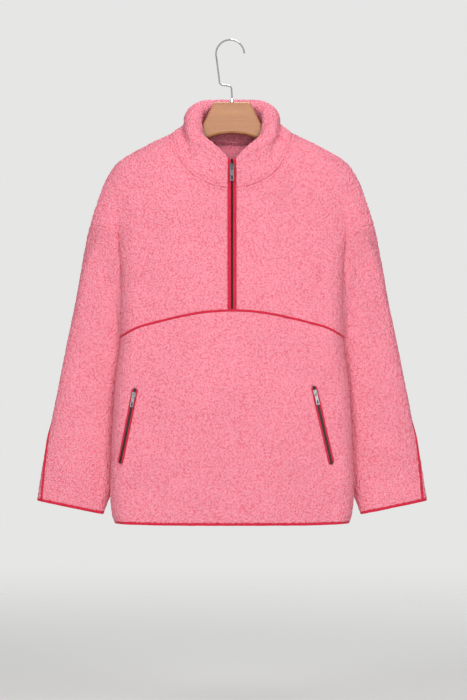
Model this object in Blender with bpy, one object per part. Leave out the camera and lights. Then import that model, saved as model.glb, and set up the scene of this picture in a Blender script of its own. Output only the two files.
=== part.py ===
"""Half-zip fleece pullover hanging flat on a wooden hanger with a wire hook.

Metres, +Z up, the front of the garment faces -Y. The origin is the inner top of the hook,
where a rail would carry it. Every panel is a wall of cloth: a grid of outer points, moved in
along its normals, with its rims closed. Panels that are sewn together share the points of
their seam and end half a seam gap short of it on each side.
"""
import math
from collections import namedtuple

import bmesh
import bpy
from mathutils import Matrix, Vector, kdtree

# Cloth and seams
WALL = 0.0030
SEAM_GAP = 0.0003
LAY_GAP = 0.0003
SAME_POINT = 0.00002
UNDERARM_PRESSED = 0.25
UNDERARM_REACH = 0.045
CORNER_GAP = 0.0006
UNDERARM_OUTWARD = Vector((0.0, -0.4, -0.92)).normalized()
FOLD_RADIUS = 0.026
WIDEST = 0.2200
CREST_RADIUS = 0.030

# Points across and up the panels
YOKE_COLUMNS = 11
YOKE_ROWS = 15
ZIP_ROWS = 8
NECK_COLUMNS = 10
SIDE_ROWS = 10
BACK_ARMHOLE_ROWS = 12
SLEEVE_ROWS = 11
SEAM_COLUMN = 3

# Zip and trim
ZIP_HALF_OPENING = 0.0078
BINDING_HEIGHT = 0.0050
PIPING_WIDTH = 0.0036
PIPING_RISE = 0.0020
SLEEVE_PIPING_LIFT = 0.0006

# Body by height: half width, where the side seam lies front to back, fullness front and back,
# and how much of that fullness is lost towards the sides
Body = namedtuple("Body", "height half_width seam_y front back flattening")
BODY = [
    Body(-0.886, 0.2145, 0.000, 0.040, 0.036, 0.30),
    Body(-0.872, 0.2190, 0.000, 0.041, 0.037, 0.30),
    Body(-0.840, 0.2225, 0.000, 0.042, 0.038, 0.30),
    Body(-0.778, 0.2215, 0.000, 0.043, 0.040, 0.30),
    Body(-0.680, 0.2170, 0.000, 0.043, 0.040, 0.30),
    Body(-0.610, 0.2110, 0.000, 0.042, 0.038, 0.30),
    Body(-0.570, 0.2055, 0.003, 0.041, 0.037, 0.30),
    Body(-0.545, 0.2045, 0.008, 0.041, 0.037, 0.30),
    Body(-0.520, 0.2035, 0.000, 0.041, 0.037, 0.32),
    Body(-0.440, 0.2030, -0.004, 0.042, 0.036, 0.34),
    Body(-0.385, 0.2060, -0.008, 0.043, 0.036, 0.36),
    Body(-0.340, 0.2090, -0.012, 0.046, 0.037, 0.42),
    Body(-0.270, 0.2110, -0.012, 0.055, 0.041, 0.60),
    Body(-0.160, 0.2110, -0.012, 0.052, 0.044, 0.60),
]

# The fold between body and sleeve, in front and at the back, fades out between two heights
FRONT_FOLD = (-0.255, -0.385)
BACK_FOLD = (-0.500, -0.545)

# Outline curves of the right half, seen from the front
Outline = namedtuple("Outline", "x z")
SHOULDER = [
    Outline(0.1110, -0.1720),
    Outline(0.1600, -0.1960),
    Outline(0.2080, -0.2245),
    Outline(0.2300, -0.2560),
    Outline(0.2470, -0.3000),
    Outline(0.2600, -0.3400),
]
FRONT_NECK = [
    Outline(ZIP_HALF_OPENING, -0.2725),
    Outline(0.0300, -0.2690),
    Outline(0.0500, -0.2615),
    Outline(0.0670, -0.2520),
    Outline(0.0840, -0.2370),
    Outline(0.0960, -0.2200),
    Outline(0.1045, -0.1990),
    Outline(0.1110, -0.1720),
]
YOKE_SEAM = [
    Outline(ZIP_HALF_OPENING, -0.4965),
    Outline(0.0400, -0.4985),
    Outline(0.0780, -0.5040),
    Outline(0.1430, -0.5190),
    Outline(0.1760, -0.5290),
    Outline(0.2045, -0.5450),
]
FRONT_ARMHOLE = [
    Outline(0.2045, -0.5450),
    Outline(0.2030, -0.5000),
    Outline(0.2030, -0.4400),
    Outline(0.2060, -0.3850),
    Outline(0.2140, -0.3560),
    Outline(0.2280, -0.3460),
    Outline(0.2450, -0.3420),
    Outline(0.2600, -0.3400),
]
BACK_ARMHOLE = [
    Outline(0.2045, -0.5450),
    Outline(0.2130, -0.5050),
    Outline(0.2250, -0.4550),
    Outline(0.2390, -0.4000),
    Outline(0.2510, -0.3620),
    Outline(0.2600, -0.3400),
]
SLEEVE_OUTER = [
    Outline(0.2600, -0.3400),
    Outline(0.2730, -0.4040),
    Outline(0.2870, -0.4780),
    Outline(0.3020, -0.5510),
    Outline(0.3310, -0.6970),
    Outline(0.3460, -0.7700),
    Outline(0.3575, -0.8420),
]
SLEEVE_INNER = [
    Outline(0.2045, -0.5450),
    Outline(0.2060, -0.5580),
    Outline(0.2035, -0.5850),
    Outline(0.2050, -0.6200),
    Outline(0.2110, -0.6900),
    Outline(0.2165, -0.7600),
    Outline(0.2225, -0.8250),
    Outline(0.2370, -0.8670),
]
VIRTUAL_CREST = Outline(0.0, -0.1250)
BACK_NECK_DROP = 0.0190
HEM_HEIGHT = -0.8860
HEM_SIDE_RISE = 0.0030

# Sleeve by share of its length: how far back it hangs and half its depth
Sleeve = namedtuple("Sleeve", "share y half_depth piping_turn")
SLEEVE = [
    Sleeve(0.00, 0.003, 0.024, -0.90),
    Sleeve(0.04, 0.012, 0.025, -0.86),
    Sleeve(0.10, 0.023, 0.026, -0.80),
    Sleeve(0.30, 0.032, 0.027, -0.55),
    Sleeve(0.70, 0.030, 0.025, -0.05),
    Sleeve(0.85, 0.028, 0.023, 0.30),
    Sleeve(1.00, 0.025, 0.021, 0.55),
]
SLEEVE_SQUARENESS = 2.5
ARMHOLE_REACH = 0.32

# Outermost line of the collar's soft roll, by share of the neck seam from the zip to the middle
# of the back, and the radius of the roll
FULL_ROLL = 0.0165
Rim = namedtuple("Rim", "share x y z roll")
COLLAR_TOP = [
    Rim(0.00, ZIP_HALF_OPENING, -0.0640, -0.2250, 0.0055),
    Rim(0.09, 0.0310, -0.0640, -0.2075, 0.0075),
    Rim(0.18, 0.0500, -0.0600, -0.1980, 0.0100),
    Rim(0.27, 0.0655, -0.0530, -0.1910, 0.0125),
    Rim(0.34, 0.0760, -0.0450, -0.1850, 0.0145),
    Rim(0.41, 0.0830, -0.0350, -0.1780, 0.0160),
    Rim(0.48, 0.0872, -0.0200, -0.1680, FULL_ROLL),
    Rim(0.58, 0.0885, 0.0040, -0.1510, FULL_ROLL),
    Rim(0.65, 0.0850, 0.0200, -0.1390, FULL_ROLL),
    Rim(0.72, 0.0760, 0.0350, -0.1290, 0.0150),
    Rim(0.80, 0.0580, 0.0440, -0.1200, 0.0125),
    Rim(0.90, 0.0310, 0.0500, -0.1165, 0.0105),
    Rim(1.00, 0.0000, 0.0520, -0.1155, 0.0095),
]
ROLL_LEAN = 0.30
COLLAR_TILT = 0.20
FACING_RISE = 0.0070
FACING_OFFSET = 0.0090
COLLAR_OUTER_ROWS = 5
COLLAR_LIP_ROWS = 5
COLLAR_INNER_ROWS = 3

# Pocket zips: top and bottom end of each, as on the photographed garment
Pocket = namedtuple("Pocket", "side top bottom")
POCKETS = [
    Pocket("left", Outline(-0.1775, -0.6410), Outline(-0.2040, -0.7750)),
    Pocket("right", Outline(0.1500, -0.6370), Outline(0.1820, -0.7760)),
]
POCKET_HALF_WIDTH = 0.0056
POCKET_TEETH_HALF = 0.0017

# Hanger
BOARD_THICKNESS = 0.0120
BOARD_ROUNDING = 0.0045
BOARD_TOP = -0.1135
BOARD_TOP_HALF = 0.0330
BOARD_NECK = [Outline(0.0565, -0.1590), Outline(0.0790, -0.1745), Outline(0.1030, -0.1835)]
BOARD_SEAT_START = 0.1170
BOARD_CLEARANCE = 0.0008
BOARD_REACH = 0.2120
BOARD_UNDERSIDE = [
    Outline(0.2020, -0.2500),
    Outline(0.1600, -0.2330),
    Outline(0.1100, -0.2090),
    Outline(0.0500, -0.1815),
    Outline(0.0250, -0.1735),
    Outline(0.0000, -0.1705),
]
FERRULE_RADIUS = 0.0042
FERRULE_HEIGHT = 0.0070
WIRE_RADIUS = 0.0016
HOOK_ARC_CENTRE = Outline(-0.0035, -0.0245)
HOOK_ARC_RADIUS = 0.0261


def clear_scene():
    for item in list(bpy.data.objects):
        bpy.data.objects.remove(item, do_unlink=True)


def make_material(name, colour, roughness, metallic=0.0):
    material = bpy.data.materials.new(name)
    material.use_nodes = True
    shader = material.node_tree.nodes["Principled BSDF"]
    shader.inputs["Base Color"].default_value = (*colour, 1.0)
    shader.inputs["Roughness"].default_value = roughness
    shader.inputs["Metallic"].default_value = metallic
    material.diffuse_color = (*colour, 1.0)
    return material


# Smooth curves through table rows

def read_rows(keys, rows, key):
    """Values at a key on a smooth cubic through the rows; keys rise."""
    last = len(keys) - 1
    key = min(max(key, keys[0]), keys[last])
    low = 0
    while low < last - 1 and key > keys[low + 1]:
        low += 1
    high = low + 1
    span = keys[high] - keys[low]
    t = (key - keys[low]) / span
    values = []
    for item in range(len(rows[0])):
        def slope(row):
            before = max(row - 1, 0)
            after = min(row + 1, last)
            return (rows[after][item] - rows[before][item]) / (keys[after] - keys[before])
        start = rows[low][item]
        end = rows[high][item]
        values.append(
            (2 * t ** 3 - 3 * t ** 2 + 1) * start
            + (t ** 3 - 2 * t ** 2 + t) * span * slope(low)
            + (3 * t ** 2 - 2 * t ** 3) * end
            + (t ** 3 - t ** 2) * span * slope(high)
        )
    return values


def on_curve(points, share):
    """Point at a share of the length of a smooth curve through the points."""
    lengths = [0.0]
    for start, end in zip(points, points[1:]):
        lengths.append(lengths[-1] + math.dist(start, end))
    return type(points[0])(*read_rows(lengths, points, share * lengths[-1]))


def body_at(z):
    return Body(*read_rows([row.height for row in BODY], BODY, z))


def sleeve_at(share):
    return Sleeve(*read_rows([row.share for row in SLEEVE], SLEEVE, share))


def rim_at(share):
    return Rim(*read_rows([row.share for row in COLLAR_TOP], COLLAR_TOP, share))


def fade(value, start, end):
    """0 at start, 1 at end, smooth between."""
    t = min(max((value - start) / (end - start), 0.0), 1.0)
    return t * t * (3 - 2 * t)


# Form of the hanging garment

def crest_distance(x, z):
    """Distance from a point of the front view to the shoulder line and the sleeve's outer edge."""
    nearest = 1.0
    line = [VIRTUAL_CREST] + SHOULDER_LINE + SLEEVE_OUTER[1:3]
    for start, end in zip(line, line[1:]):
        run = Vector((end.x - start.x, end.z - start.z))
        to_point = Vector((abs(x) - start.x, z - start.z))
        t = min(max(to_point.dot(run) / run.length_squared, 0.0), 1.0)
        nearest = min(nearest, (to_point - run * t).length)
    return nearest


def round_over(distance, radius):
    """Quarter ellipse: 0 at an edge, 1 a radius away from it."""
    t = min(distance / radius, 1.0)
    return math.sqrt(1.0 - (1.0 - t) ** 2)


def fold_shape(offset, strength):
    """1 in the bottom of a fold, 0 a fold radius to either side: a soft trough while it is
    shallow, two round edges that meet in a crease where it is deep."""
    soft = max(0.0, 1.0 - (offset / FOLD_RADIUS) ** 2) ** 2
    crease = 1.0 - round_over(abs(offset), FOLD_RADIUS)
    return soft + (crease - soft) * strength ** 2


def surface_y(x, z, face):
    """Outer surface of the body, in front for face -1 and behind for face +1."""
    row = body_at(z)
    fullness = row.front if face < 0 else row.back
    fullness *= 1.0 - row.flattening * (x / WIDEST) ** 2
    fullness *= round_over(crest_distance(x, z), CREST_RADIUS)
    fade_from, fade_to = FRONT_FOLD if face < 0 else BACK_FOLD
    strength = fade(z, fade_from, fade_to)
    trough = strength * fold_shape(abs(x) - row.half_width, strength)
    return face * fullness + trough * (row.seam_y - face * fullness)


def surface_point(x, z, face):
    return Vector((x, surface_y(x, z, face), z))


def surface_normal(x, z, face):
    """Outward normal of the body's surface, away from its edges."""
    step = 0.004
    by_x = surface_y(x + step, z, face) - surface_y(x - step, z, face)
    by_z = surface_y(x, z + step, face) - surface_y(x, z - step, face)
    return Vector((-by_x, 2 * step, -by_z)).normalized() * face


def edge_shares(count, end_power, start_power=1.0):
    """Shares from 0 to 1 that crowd towards 1, and towards 0 too with a start power over 1."""
    return [
        (1.0 - (1.0 - step / count) ** end_power) ** start_power
        for step in range(count + 1)
    ]


ACROSS = edge_shares(YOKE_COLUMNS, 1.7)
UP = edge_shares(YOKE_ROWS, 1.5, 1.4)
BACK_UP = edge_shares(BACK_ARMHOLE_ROWS, 2.2, 1.5)
SHOULDER_LINE = [on_curve(SHOULDER, share) for share in ACROSS]


def front_opening(row):
    """Inner edge of a front yoke: up the zip, then round the neck to the shoulder."""
    if row <= ZIP_ROWS:
        foot = YOKE_SEAM[0].z
        top = FRONT_NECK[0].z
        return Outline(ZIP_HALF_OPENING, foot + (top - foot) * UP[row] / UP[ZIP_ROWS])
    return on_curve(FRONT_NECK, (UP[row] - UP[ZIP_ROWS]) / (1.0 - UP[ZIP_ROWS]))


def back_neck(x):
    """Height of the back neck seam."""
    return SHOULDER[0].z - BACK_NECK_DROP * (1.0 - (x / SHOULDER[0].x) ** 4)


def hem_height(x):
    return HEM_HEIGHT + HEM_SIDE_RISE * (x / 0.2145) ** 4


def side_seam(share):
    z = hem_height(BODY[0].half_width) + (YOKE_SEAM[-1].z - hem_height(BODY[0].half_width)) * share
    return Outline(body_at(z).half_width, z)


def fill(bottom, top, left, right, across, up):
    """Front-view points inside four edges, each a list of points with shared corners."""
    rows = []
    for v, weight_up in enumerate(up):
        row = []
        for u, weight_across in enumerate(across):
            def mix(item):
                straight = (1 - weight_up) * bottom[u][item] + weight_up * top[u][item]
                straight += (1 - weight_across) * left[v][item] + weight_across * right[v][item]
                low = (1 - weight_across) * bottom[0][item] + weight_across * bottom[-1][item]
                high = (1 - weight_across) * top[0][item] + weight_across * top[-1][item]
                return straight - (1 - weight_up) * low - weight_up * high
            row.append(Outline(mix(0), mix(1)))
        rows.append(row)
    return rows


def raise_rows(rows, face):
    return [[surface_point(point.x, point.z, face) for point in row] for row in rows]


def mirror_rows(rows):
    """The other side of the body: x changes sign and each row runs the other way."""
    return [[Vector((-point.x, point.y, point.z)) for point in reversed(row)] for row in rows]


def mirrored(points):
    return [Outline(-point.x, point.z) for point in reversed(points)]


# Outer surfaces, one grid a panel, rows upward and columns towards +X seen from the front

def yoke_grid():
    """Right front yoke, from the zip to the armhole and from the chest seam to the shoulder."""
    bottom = [on_curve(YOKE_SEAM, share) for share in ACROSS]
    top = [on_curve(SHOULDER, share) for share in ACROSS]
    left = [front_opening(row) for row in range(YOKE_ROWS + 1)]
    right = [on_curve(FRONT_ARMHOLE, share) for share in UP]
    return raise_rows(fill(bottom, top, left, right, ACROSS, UP), -1)


def lower_front_grid():
    """Front below the chest seam, one piece from side seam to side seam."""
    half_seam = [on_curve(YOKE_SEAM, share) for share in ACROSS]
    top = mirrored(half_seam) + half_seam
    side = [side_seam(row / SIDE_ROWS) for row in range(SIDE_ROWS + 1)]
    half_hem = []
    for share in ACROSS:
        x = ZIP_HALF_OPENING + (side[0].x - ZIP_HALF_OPENING) * share
        half_hem.append(Outline(x, hem_height(x)))
    bottom = mirrored(half_hem) + half_hem
    across = [(point.x + side[0].x) / (2 * side[0].x) for point in bottom]
    up = [row / SIDE_ROWS for row in range(SIDE_ROWS + 1)]
    left = [Outline(-point.x, point.z) for point in side]
    return raise_rows(fill(bottom, top, left, side, across, up), -1)


def back_grid():
    """Whole back, from hem to shoulders and back neck."""
    shoulder = [on_curve(SHOULDER, share) for share in ACROSS]
    neck = []
    for column in range(1, NECK_COLUMNS):
        x = SHOULDER[0].x * math.sin(math.pi / 2 * (2 * column / NECK_COLUMNS - 1))
        neck.append(Outline(x, back_neck(x)))
    top = mirrored(shoulder) + neck + shoulder
    side = [side_seam(row / SIDE_ROWS) for row in range(SIDE_ROWS + 1)]
    right = side + [on_curve(BACK_ARMHOLE, share) for share in BACK_UP[1:]]
    half_hem = []
    middle = 0.055
    for share in ACROSS:
        x = middle + (side[0].x - middle) * share
        half_hem.append(Outline(x, hem_height(x)))
    hem_middle = []
    for column in range(1, NECK_COLUMNS):
        x = middle * (2 * column / NECK_COLUMNS - 1)
        hem_middle.append(Outline(x, hem_height(x)))
    bottom = mirrored(half_hem) + hem_middle + half_hem
    across = [(point.x + side[0].x) / (2 * side[0].x) for point in bottom]
    heights = [point.z - right[0].z for point in right]
    up = [height / heights[-1] for height in heights]
    left = [Outline(-point.x, point.z) for point in right]
    return raise_rows(fill(bottom, top, left, right, across, up), 1)


def oval(turn, half_width, half_depth):
    """Point of a flattened ring: along its width, and behind its middle."""
    power = 2.0 / SLEEVE_SQUARENESS
    across = math.cos(turn)
    behind = -math.sin(turn)
    return (
        half_width * math.copysign(abs(across) ** power, across),
        half_depth * math.copysign(abs(behind) ** power, behind),
    )


def sleeve_point(turn, share):
    """Point of the plain sleeve: turn 0 is its outer edge, half a turn its inner edge."""
    outer = on_curve(SLEEVE_OUTER, share)
    inner = on_curve(SLEEVE_INNER, share)
    row = sleeve_at(share)
    width = math.hypot(outer.x - inner.x, outer.z - inner.z)
    along, behind = oval(turn, 0.5, row.half_depth)
    return Vector((
        (outer.x + inner.x) / 2 + (outer.x - inner.x) * along,
        row.y + behind * min(1.0, width / 0.1),
        (outer.z + inner.z) / 2 + (outer.z - inner.z) * along,
    ))


def sleeve_grid():
    """Right sleeve: rows from armhole to cuff, columns from the piped seam round the front,
    the inner seam and the back, to the piped seam again."""
    front = [on_curve(FRONT_ARMHOLE, share) for share in reversed(UP)]
    back = [on_curve(BACK_ARMHOLE, share) for share in BACK_UP]
    ring = [surface_point(point.x, point.z, 1) for point in back[-1 - SEAM_COLUMN:-1]]
    ring += [surface_point(point.x, point.z, -1) for point in front]
    ring += [surface_point(point.x, point.z, 1) for point in back[1:len(back) - SEAM_COLUMN]]
    inner_column = SEAM_COLUMN + YOKE_ROWS
    lengths = [0.0]
    for start, end in zip(ring, ring[1:]):
        lengths.append(lengths[-1] + (end - start).length)
    front_length = lengths[inner_column]
    back_length = lengths[-1] - front_length
    rows = []
    for step in range(SLEEVE_ROWS + 1):
        share = (step / SLEEVE_ROWS) ** 1.35
        held = max(0.0, 1.0 - share / ARMHOLE_REACH) ** 2
        start = sleeve_at(share).piping_turn
        points = []
        for column, place in enumerate(ring):
            if column <= inner_column:
                even = column / inner_column
                sewn = lengths[column] / front_length
                span = (start, math.pi)
            else:
                even = (column - inner_column) / (len(ring) - 1 - inner_column)
                sewn = (lengths[column] - front_length) / back_length
                span = (math.pi, 2 * math.pi + start)
            part = held * sewn + (1.0 - held) * even
            point = sleeve_point(span[0] + (span[1] - span[0]) * part, share)
            at_top = span_point(sewn, column <= inner_column)
            points.append(point + held * (place - at_top))
        points[-1] = points[0].copy()
        rows.append(points)
    return rows


def span_point(part, in_front):
    """Where the plain sleeve's first ring has the point that the armhole moves."""
    start = SLEEVE[0].piping_turn
    if in_front:
        return sleeve_point(start + (math.pi - start) * part, 0.0)
    return sleeve_point(math.pi + (math.pi + start) * part, 0.0)


def collar_foot():
    """Neck seam from the right of the zip, round the back, to the left of the zip."""
    front = [front_opening(row) for row in range(ZIP_ROWS, YOKE_ROWS + 1)]
    right = [surface_point(point.x, point.z, -1) for point in front]
    back = []
    for column in range(NECK_COLUMNS - 1, 0, -1):
        x = SHOULDER[0].x * math.sin(math.pi / 2 * (2 * column / NECK_COLUMNS - 1))
        back.append(surface_point(x, back_neck(x), 1))
    left = [Vector((-point.x, point.y, point.z)) for point in reversed(right)]
    return right + back + left


def collar_profile(foot, along, top, roll, out):
    """Outer face, soft roll and inner facing of the collar at one place round the neck, where
    the seam runs along a direction."""
    up = Vector((0.0, -COLLAR_TILT, 1.0)).normalized()
    across = (out - up * out.dot(up)).normalized()
    rise = (top - foot).dot(up)
    arrive = (up + across * ROLL_LEAN * (roll / FULL_ROLL) ** 2).normalized() * rise
    points = []
    for step in range(COLLAR_OUTER_ROWS + 1):
        t = step / COLLAR_OUTER_ROWS
        points.append(
            foot * (2 * t ** 3 - 3 * t ** 2 + 1)
            + (top - foot) * (t ** 3 - 2 * t ** 2 + t)
            + top * (3 * t ** 2 - 2 * t ** 3)
            + arrive * (t ** 3 - t ** 2)
        )
    centre = top - across * roll
    for step in range(1, COLLAR_LIP_ROWS + 1):
        angle = math.pi * step / COLLAR_LIP_ROWS
        points.append(centre + across * roll * math.cos(angle) + up * roll * math.sin(angle))
    lip_end = points[-1]
    face = (top - foot).normalized()
    inward = face.cross(along).normalized()
    sewn = foot + face * FACING_RISE + inward * FACING_OFFSET
    for step in range(1, COLLAR_INNER_ROWS + 1):
        points.append(lip_end.lerp(sewn, step / COLLAR_INNER_ROWS))
    return points


def collar_grid():
    """Collar: columns round the neck, rows up the outer face, over the lip and down inside."""
    foot = collar_foot()
    lengths = [0.0]
    for start, end in zip(foot, foot[1:]):
        lengths.append(lengths[-1] + (end - start).length)
    columns = []
    for column, point in enumerate(foot):
        share = 2 * lengths[column] / lengths[-1]
        side = 1.0 if share <= 1.0 else -1.0
        rim = rim_at(share if share <= 1.0 else 2.0 - share)
        top = Vector((side * rim.x, rim.y, rim.z))
        before = foot[max(column - 1, 0)]
        after = foot[min(column + 1, len(foot) - 1)]
        out = Vector((rim.x * side, 1.4 * (rim.y + 0.012), 0.0)).normalized()
        if column in (0, len(foot) - 1):
            out = Vector((0.0, -1.0, 0.0))
        columns.append(collar_profile(point, after - before, top, rim.roll, out))
    return [list(row) for row in zip(*columns)]


# Turning surfaces into closed walls

def grid_normals(grid, outward):
    """Normals of a grid's points from the faces round each; outward is +1 or -1."""
    rows = len(grid)
    columns = len(grid[0])
    normals = [[Vector() for _ in range(columns)] for _ in range(rows)]
    for v in range(rows - 1):
        for u in range(columns - 1):
            corners = ((v, u), (v, u + 1), (v + 1, u + 1), (v + 1, u))
            first = grid[v + 1][u + 1] - grid[v][u]
            second = grid[v + 1][u] - grid[v][u + 1]
            normal = first.cross(second).normalized() * outward
            for row, column in corners:
                normals[row][column] += normal
    return [[normal.normalized() for normal in row] for row in normals]


def border(rows, columns):
    """Row and column of each point on a grid's border, once round."""
    bottom = [(0, u) for u in range(columns)]
    right = [(v, columns - 1) for v in range(1, rows)]
    top = [(rows - 1, u) for u in range(columns - 2, -1, -1)]
    left = [(v, 0) for v in range(rows - 2, 0, -1)]
    return bottom + right + top + left


def rim_order(point):
    """Height that tells the two ends of a rim face apart, so that both walls of a seam split
    their rims along the same diagonal."""
    return point.z + 0.37 * abs(point.x) + 0.11 * point.y


def wall_at(point, wall):
    """The seams are pressed thin where they meet under the arm."""
    underarm = FRONT_ARMHOLE[0]
    near = math.hypot(abs(point.x) - underarm.x, point.z - underarm.z)
    return wall * (UNDERARM_PRESSED + (1.0 - UNDERARM_PRESSED) * fade(near, 0.0, UNDERARM_REACH))


class Panel:
    """A wall of cloth on a grid of outer points."""

    def __init__(self, name, grid, outward, material, free=(), wall=WALL):
        self.name = name
        self.grid = [[point.copy() for point in row] for row in grid]
        self.outward = outward
        self.material = material
        self.free = free
        self.wall = wall
        self.normals = grid_normals(self.grid, outward)

    def sewn_sides(self, v, u):
        """Border points before and after one, for each sewn edge that it lies on."""
        rows = len(self.grid)
        columns = len(self.grid[0])
        sides = []
        if v == 0 and "bottom" not in self.free:
            sides.append(((v, max(u - 1, 0)), (v, min(u + 1, columns - 1))))
        if v == rows - 1 and "top" not in self.free:
            sides.append(((v, max(u - 1, 0)), (v, min(u + 1, columns - 1))))
        if u == 0 and "left" not in self.free:
            sides.append(((max(v - 1, 0), u), (min(v + 1, rows - 1), u)))
        if u == columns - 1 and "right" not in self.free:
            sides.append(((max(v - 1, 0), u), (min(v + 1, rows - 1), u)))
        return sides

    def open_seams(self, seam_normals):
        """Border points take the normals of their seams and step half a gap away from them."""
        shifts = []
        places = border(len(self.grid), len(self.grid[0]))
        for (v, u), normal in zip(places, seam_normals):
            self.normals[v][u] = normal
            shift = Vector()
            inside_v = min(max(v, 1), len(self.grid) - 2)
            inside_u = min(max(u, 1), len(self.grid[0]) - 2)
            inward = self.grid[inside_v][inside_u] - self.grid[v][u]
            for before, after in self.sewn_sides(v, u):
                along = self.grid[after[0]][after[1]] - self.grid[before[0]][before[1]]
                away = along.cross(normal).normalized()
                shift += away * math.copysign(SEAM_GAP / 2, away.dot(inward))
            if normal is UNDERARM_OUTWARD:
                shift = inward.normalized() * CORNER_GAP
            shifts.append(shift)
        for (v, u), shift in zip(places, shifts):
            self.grid[v][u] += shift

    def build(self):
        rows = len(self.grid)
        columns = len(self.grid[0])
        mesh = bmesh.new()
        outer = [[mesh.verts.new(point) for point in row] for row in self.grid]
        inner = []
        for v in range(rows):
            inner.append([
                mesh.verts.new(
                    self.grid[v][u] - self.normals[v][u] * wall_at(self.grid[v][u], self.wall))
                for u in range(columns)
            ])
        for v in range(rows - 1):
            for u in range(columns - 1):
                corners = [(v, u), (v, u + 1), (v + 1, u + 1), (v + 1, u)]
                rising = (self.grid[v + 1][u + 1] - self.grid[v][u]).length
                falling = (self.grid[v + 1][u] - self.grid[v][u + 1]).length
                if rising > falling:
                    corners = corners[1:] + corners[:1]
                for triangle in (corners[:3], corners[2:] + corners[:1]):
                    mesh.faces.new([outer[row][column] for row, column in triangle])
                    mesh.faces.new([inner[row][column] for row, column in reversed(triangle)])
        ring = border(rows, columns)
        for here, there in zip(ring, ring[1:] + ring[:1]):
            near = (outer[here[0]][here[1]], inner[here[0]][here[1]])
            far = (outer[there[0]][there[1]], inner[there[0]][there[1]])
            if rim_order(near[0].co) < rim_order(far[0].co):
                mesh.faces.new([far[0], near[0], far[1]])
                mesh.faces.new([near[0], near[1], far[1]])
            else:
                mesh.faces.new([far[0], near[0], near[1]])
                mesh.faces.new([far[0], near[1], far[1]])
        if self.outward < 0:
            bmesh.ops.reverse_faces(mesh, faces=mesh.faces[:])
        return finish_mesh(self.name, mesh, self.material)


def sew(panels):
    """Border points that lie together take the mean normal of the panels that meet there.
    Five panels meet under the arm, where outward is down."""
    places = [
        (panel, v, u)
        for panel in panels for v, u in border(len(panel.grid), len(panel.grid[0]))
    ]
    tree = kdtree.KDTree(len(places))
    for index, (panel, v, u) in enumerate(places):
        tree.insert(panel.grid[v][u], index)
    tree.balance()
    common = []
    for panel, v, u in places:
        total = Vector()
        meeting = tree.find_range(panel.grid[v][u], SAME_POINT)
        for _, index, _ in meeting:
            other, row, column = places[index]
            total += other.normals[row][column]
        common.append(UNDERARM_OUTWARD if len(meeting) == 5 else total.normalized())
    start = 0
    for panel in panels:
        count = len(border(len(panel.grid), len(panel.grid[0])))
        panel.open_seams(common[start:start + count])
        start += count


def finish_mesh(name, mesh, material, smooth_angle=35.0):
    data = bpy.data.meshes.new(name)
    mesh.normal_update()
    mesh.to_mesh(data)
    mesh.free()
    data.shade_smooth()
    data.set_sharp_from_angle(angle=math.radians(smooth_angle))
    data.materials.append(material)
    item = bpy.data.objects.new(name, data)
    bpy.context.scene.collection.objects.link(item)
    return item


def sweep(name, places, profile, material, closed=False):
    """A profile carried along places; a place is its point, its sideways and outward directions.
    Profile points are (sideways, outward) and run anticlockwise seen against the travel."""
    mesh = bmesh.new()
    rings = []
    for point, sideways, outward in places:
        rings.append([mesh.verts.new(point + sideways * a + outward * b) for a, b in profile])
    pairs = list(zip(rings, rings[1:]))
    if closed:
        pairs.append((rings[-1], rings[0]))
    count = len(profile)
    for ring, following in pairs:
        for corner in range(count):
            beside = (corner + 1) % count
            quad = [ring[corner], ring[beside], following[beside], following[corner]]
            if (quad[0].co - quad[2].co).length > (quad[1].co - quad[3].co).length:
                quad = quad[1:] + quad[:1]
            mesh.faces.new(quad[:3])
            mesh.faces.new([quad[2], quad[3], quad[0]])
    if not closed:
        mesh.faces.new(list(reversed(rings[0])))
        mesh.faces.new(rings[-1])
    bmesh.ops.recalc_face_normals(mesh, faces=mesh.faces[:])
    return finish_mesh(name, mesh, material)


def directions(points, normals, closed=False):
    """Places for a sweep: sideways is square to the run and to the normal."""
    places = []
    last = len(points) - 1
    for index, point in enumerate(points):
        before = points[index - 1] if closed else points[max(index - 1, 0)]
        after = points[(index + 1) % len(points)] if closed else points[min(index + 1, last)]
        run = (after - before).normalized()
        normal = normals[index]
        sideways = run.cross(normal).normalized()
        places.append((point, sideways, normal))
    return places


def half_round(width, low, high):
    """Profile of a piping: flat below, round above."""
    points = [(-width / 2, low), (width / 2, low)]
    for step in range(1, 4):
        angle = math.pi * step / 4
        points.append((width / 2 * math.cos(angle), low + (high - low) * math.sin(angle)))
    return points


def box_profile(left, right, low, high):
    return [(left, low), (right, low), (right, high), (left, high)]


# Panels and what is sewn along their edges

def build_panels(fleece):
    yoke = yoke_grid()
    sleeve = sleeve_grid()
    inner_column = SEAM_COLUMN + YOKE_ROWS
    sleeve_front = [row[:inner_column + 1] for row in sleeve]
    sleeve_back = [row[inner_column:] for row in sleeve]
    panels = [
        Panel("lower_front", lower_front_grid(), 1, fleece, free=("bottom",)),
        Panel("back", back_grid(), -1, fleece, free=("bottom",)),
        Panel("yoke_front_right", yoke, 1, fleece),
        Panel("yoke_front_left", mirror_rows(yoke), 1, fleece),
        Panel("sleeve_front_right", sleeve_front, 1, fleece, free=("top",)),
        Panel("sleeve_back_right", sleeve_back, 1, fleece, free=("top",)),
        Panel("sleeve_front_left", mirror_rows(sleeve_front), 1, fleece, free=("top",)),
        Panel("sleeve_back_left", mirror_rows(sleeve_back), 1, fleece, free=("top",)),
        Panel("collar", collar_grid(), 1, fleece, free=("top", "left", "right")),
    ]
    sew(panels)
    for panel in panels:
        panel.build()
    return {panel.name: panel for panel in panels}


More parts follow.
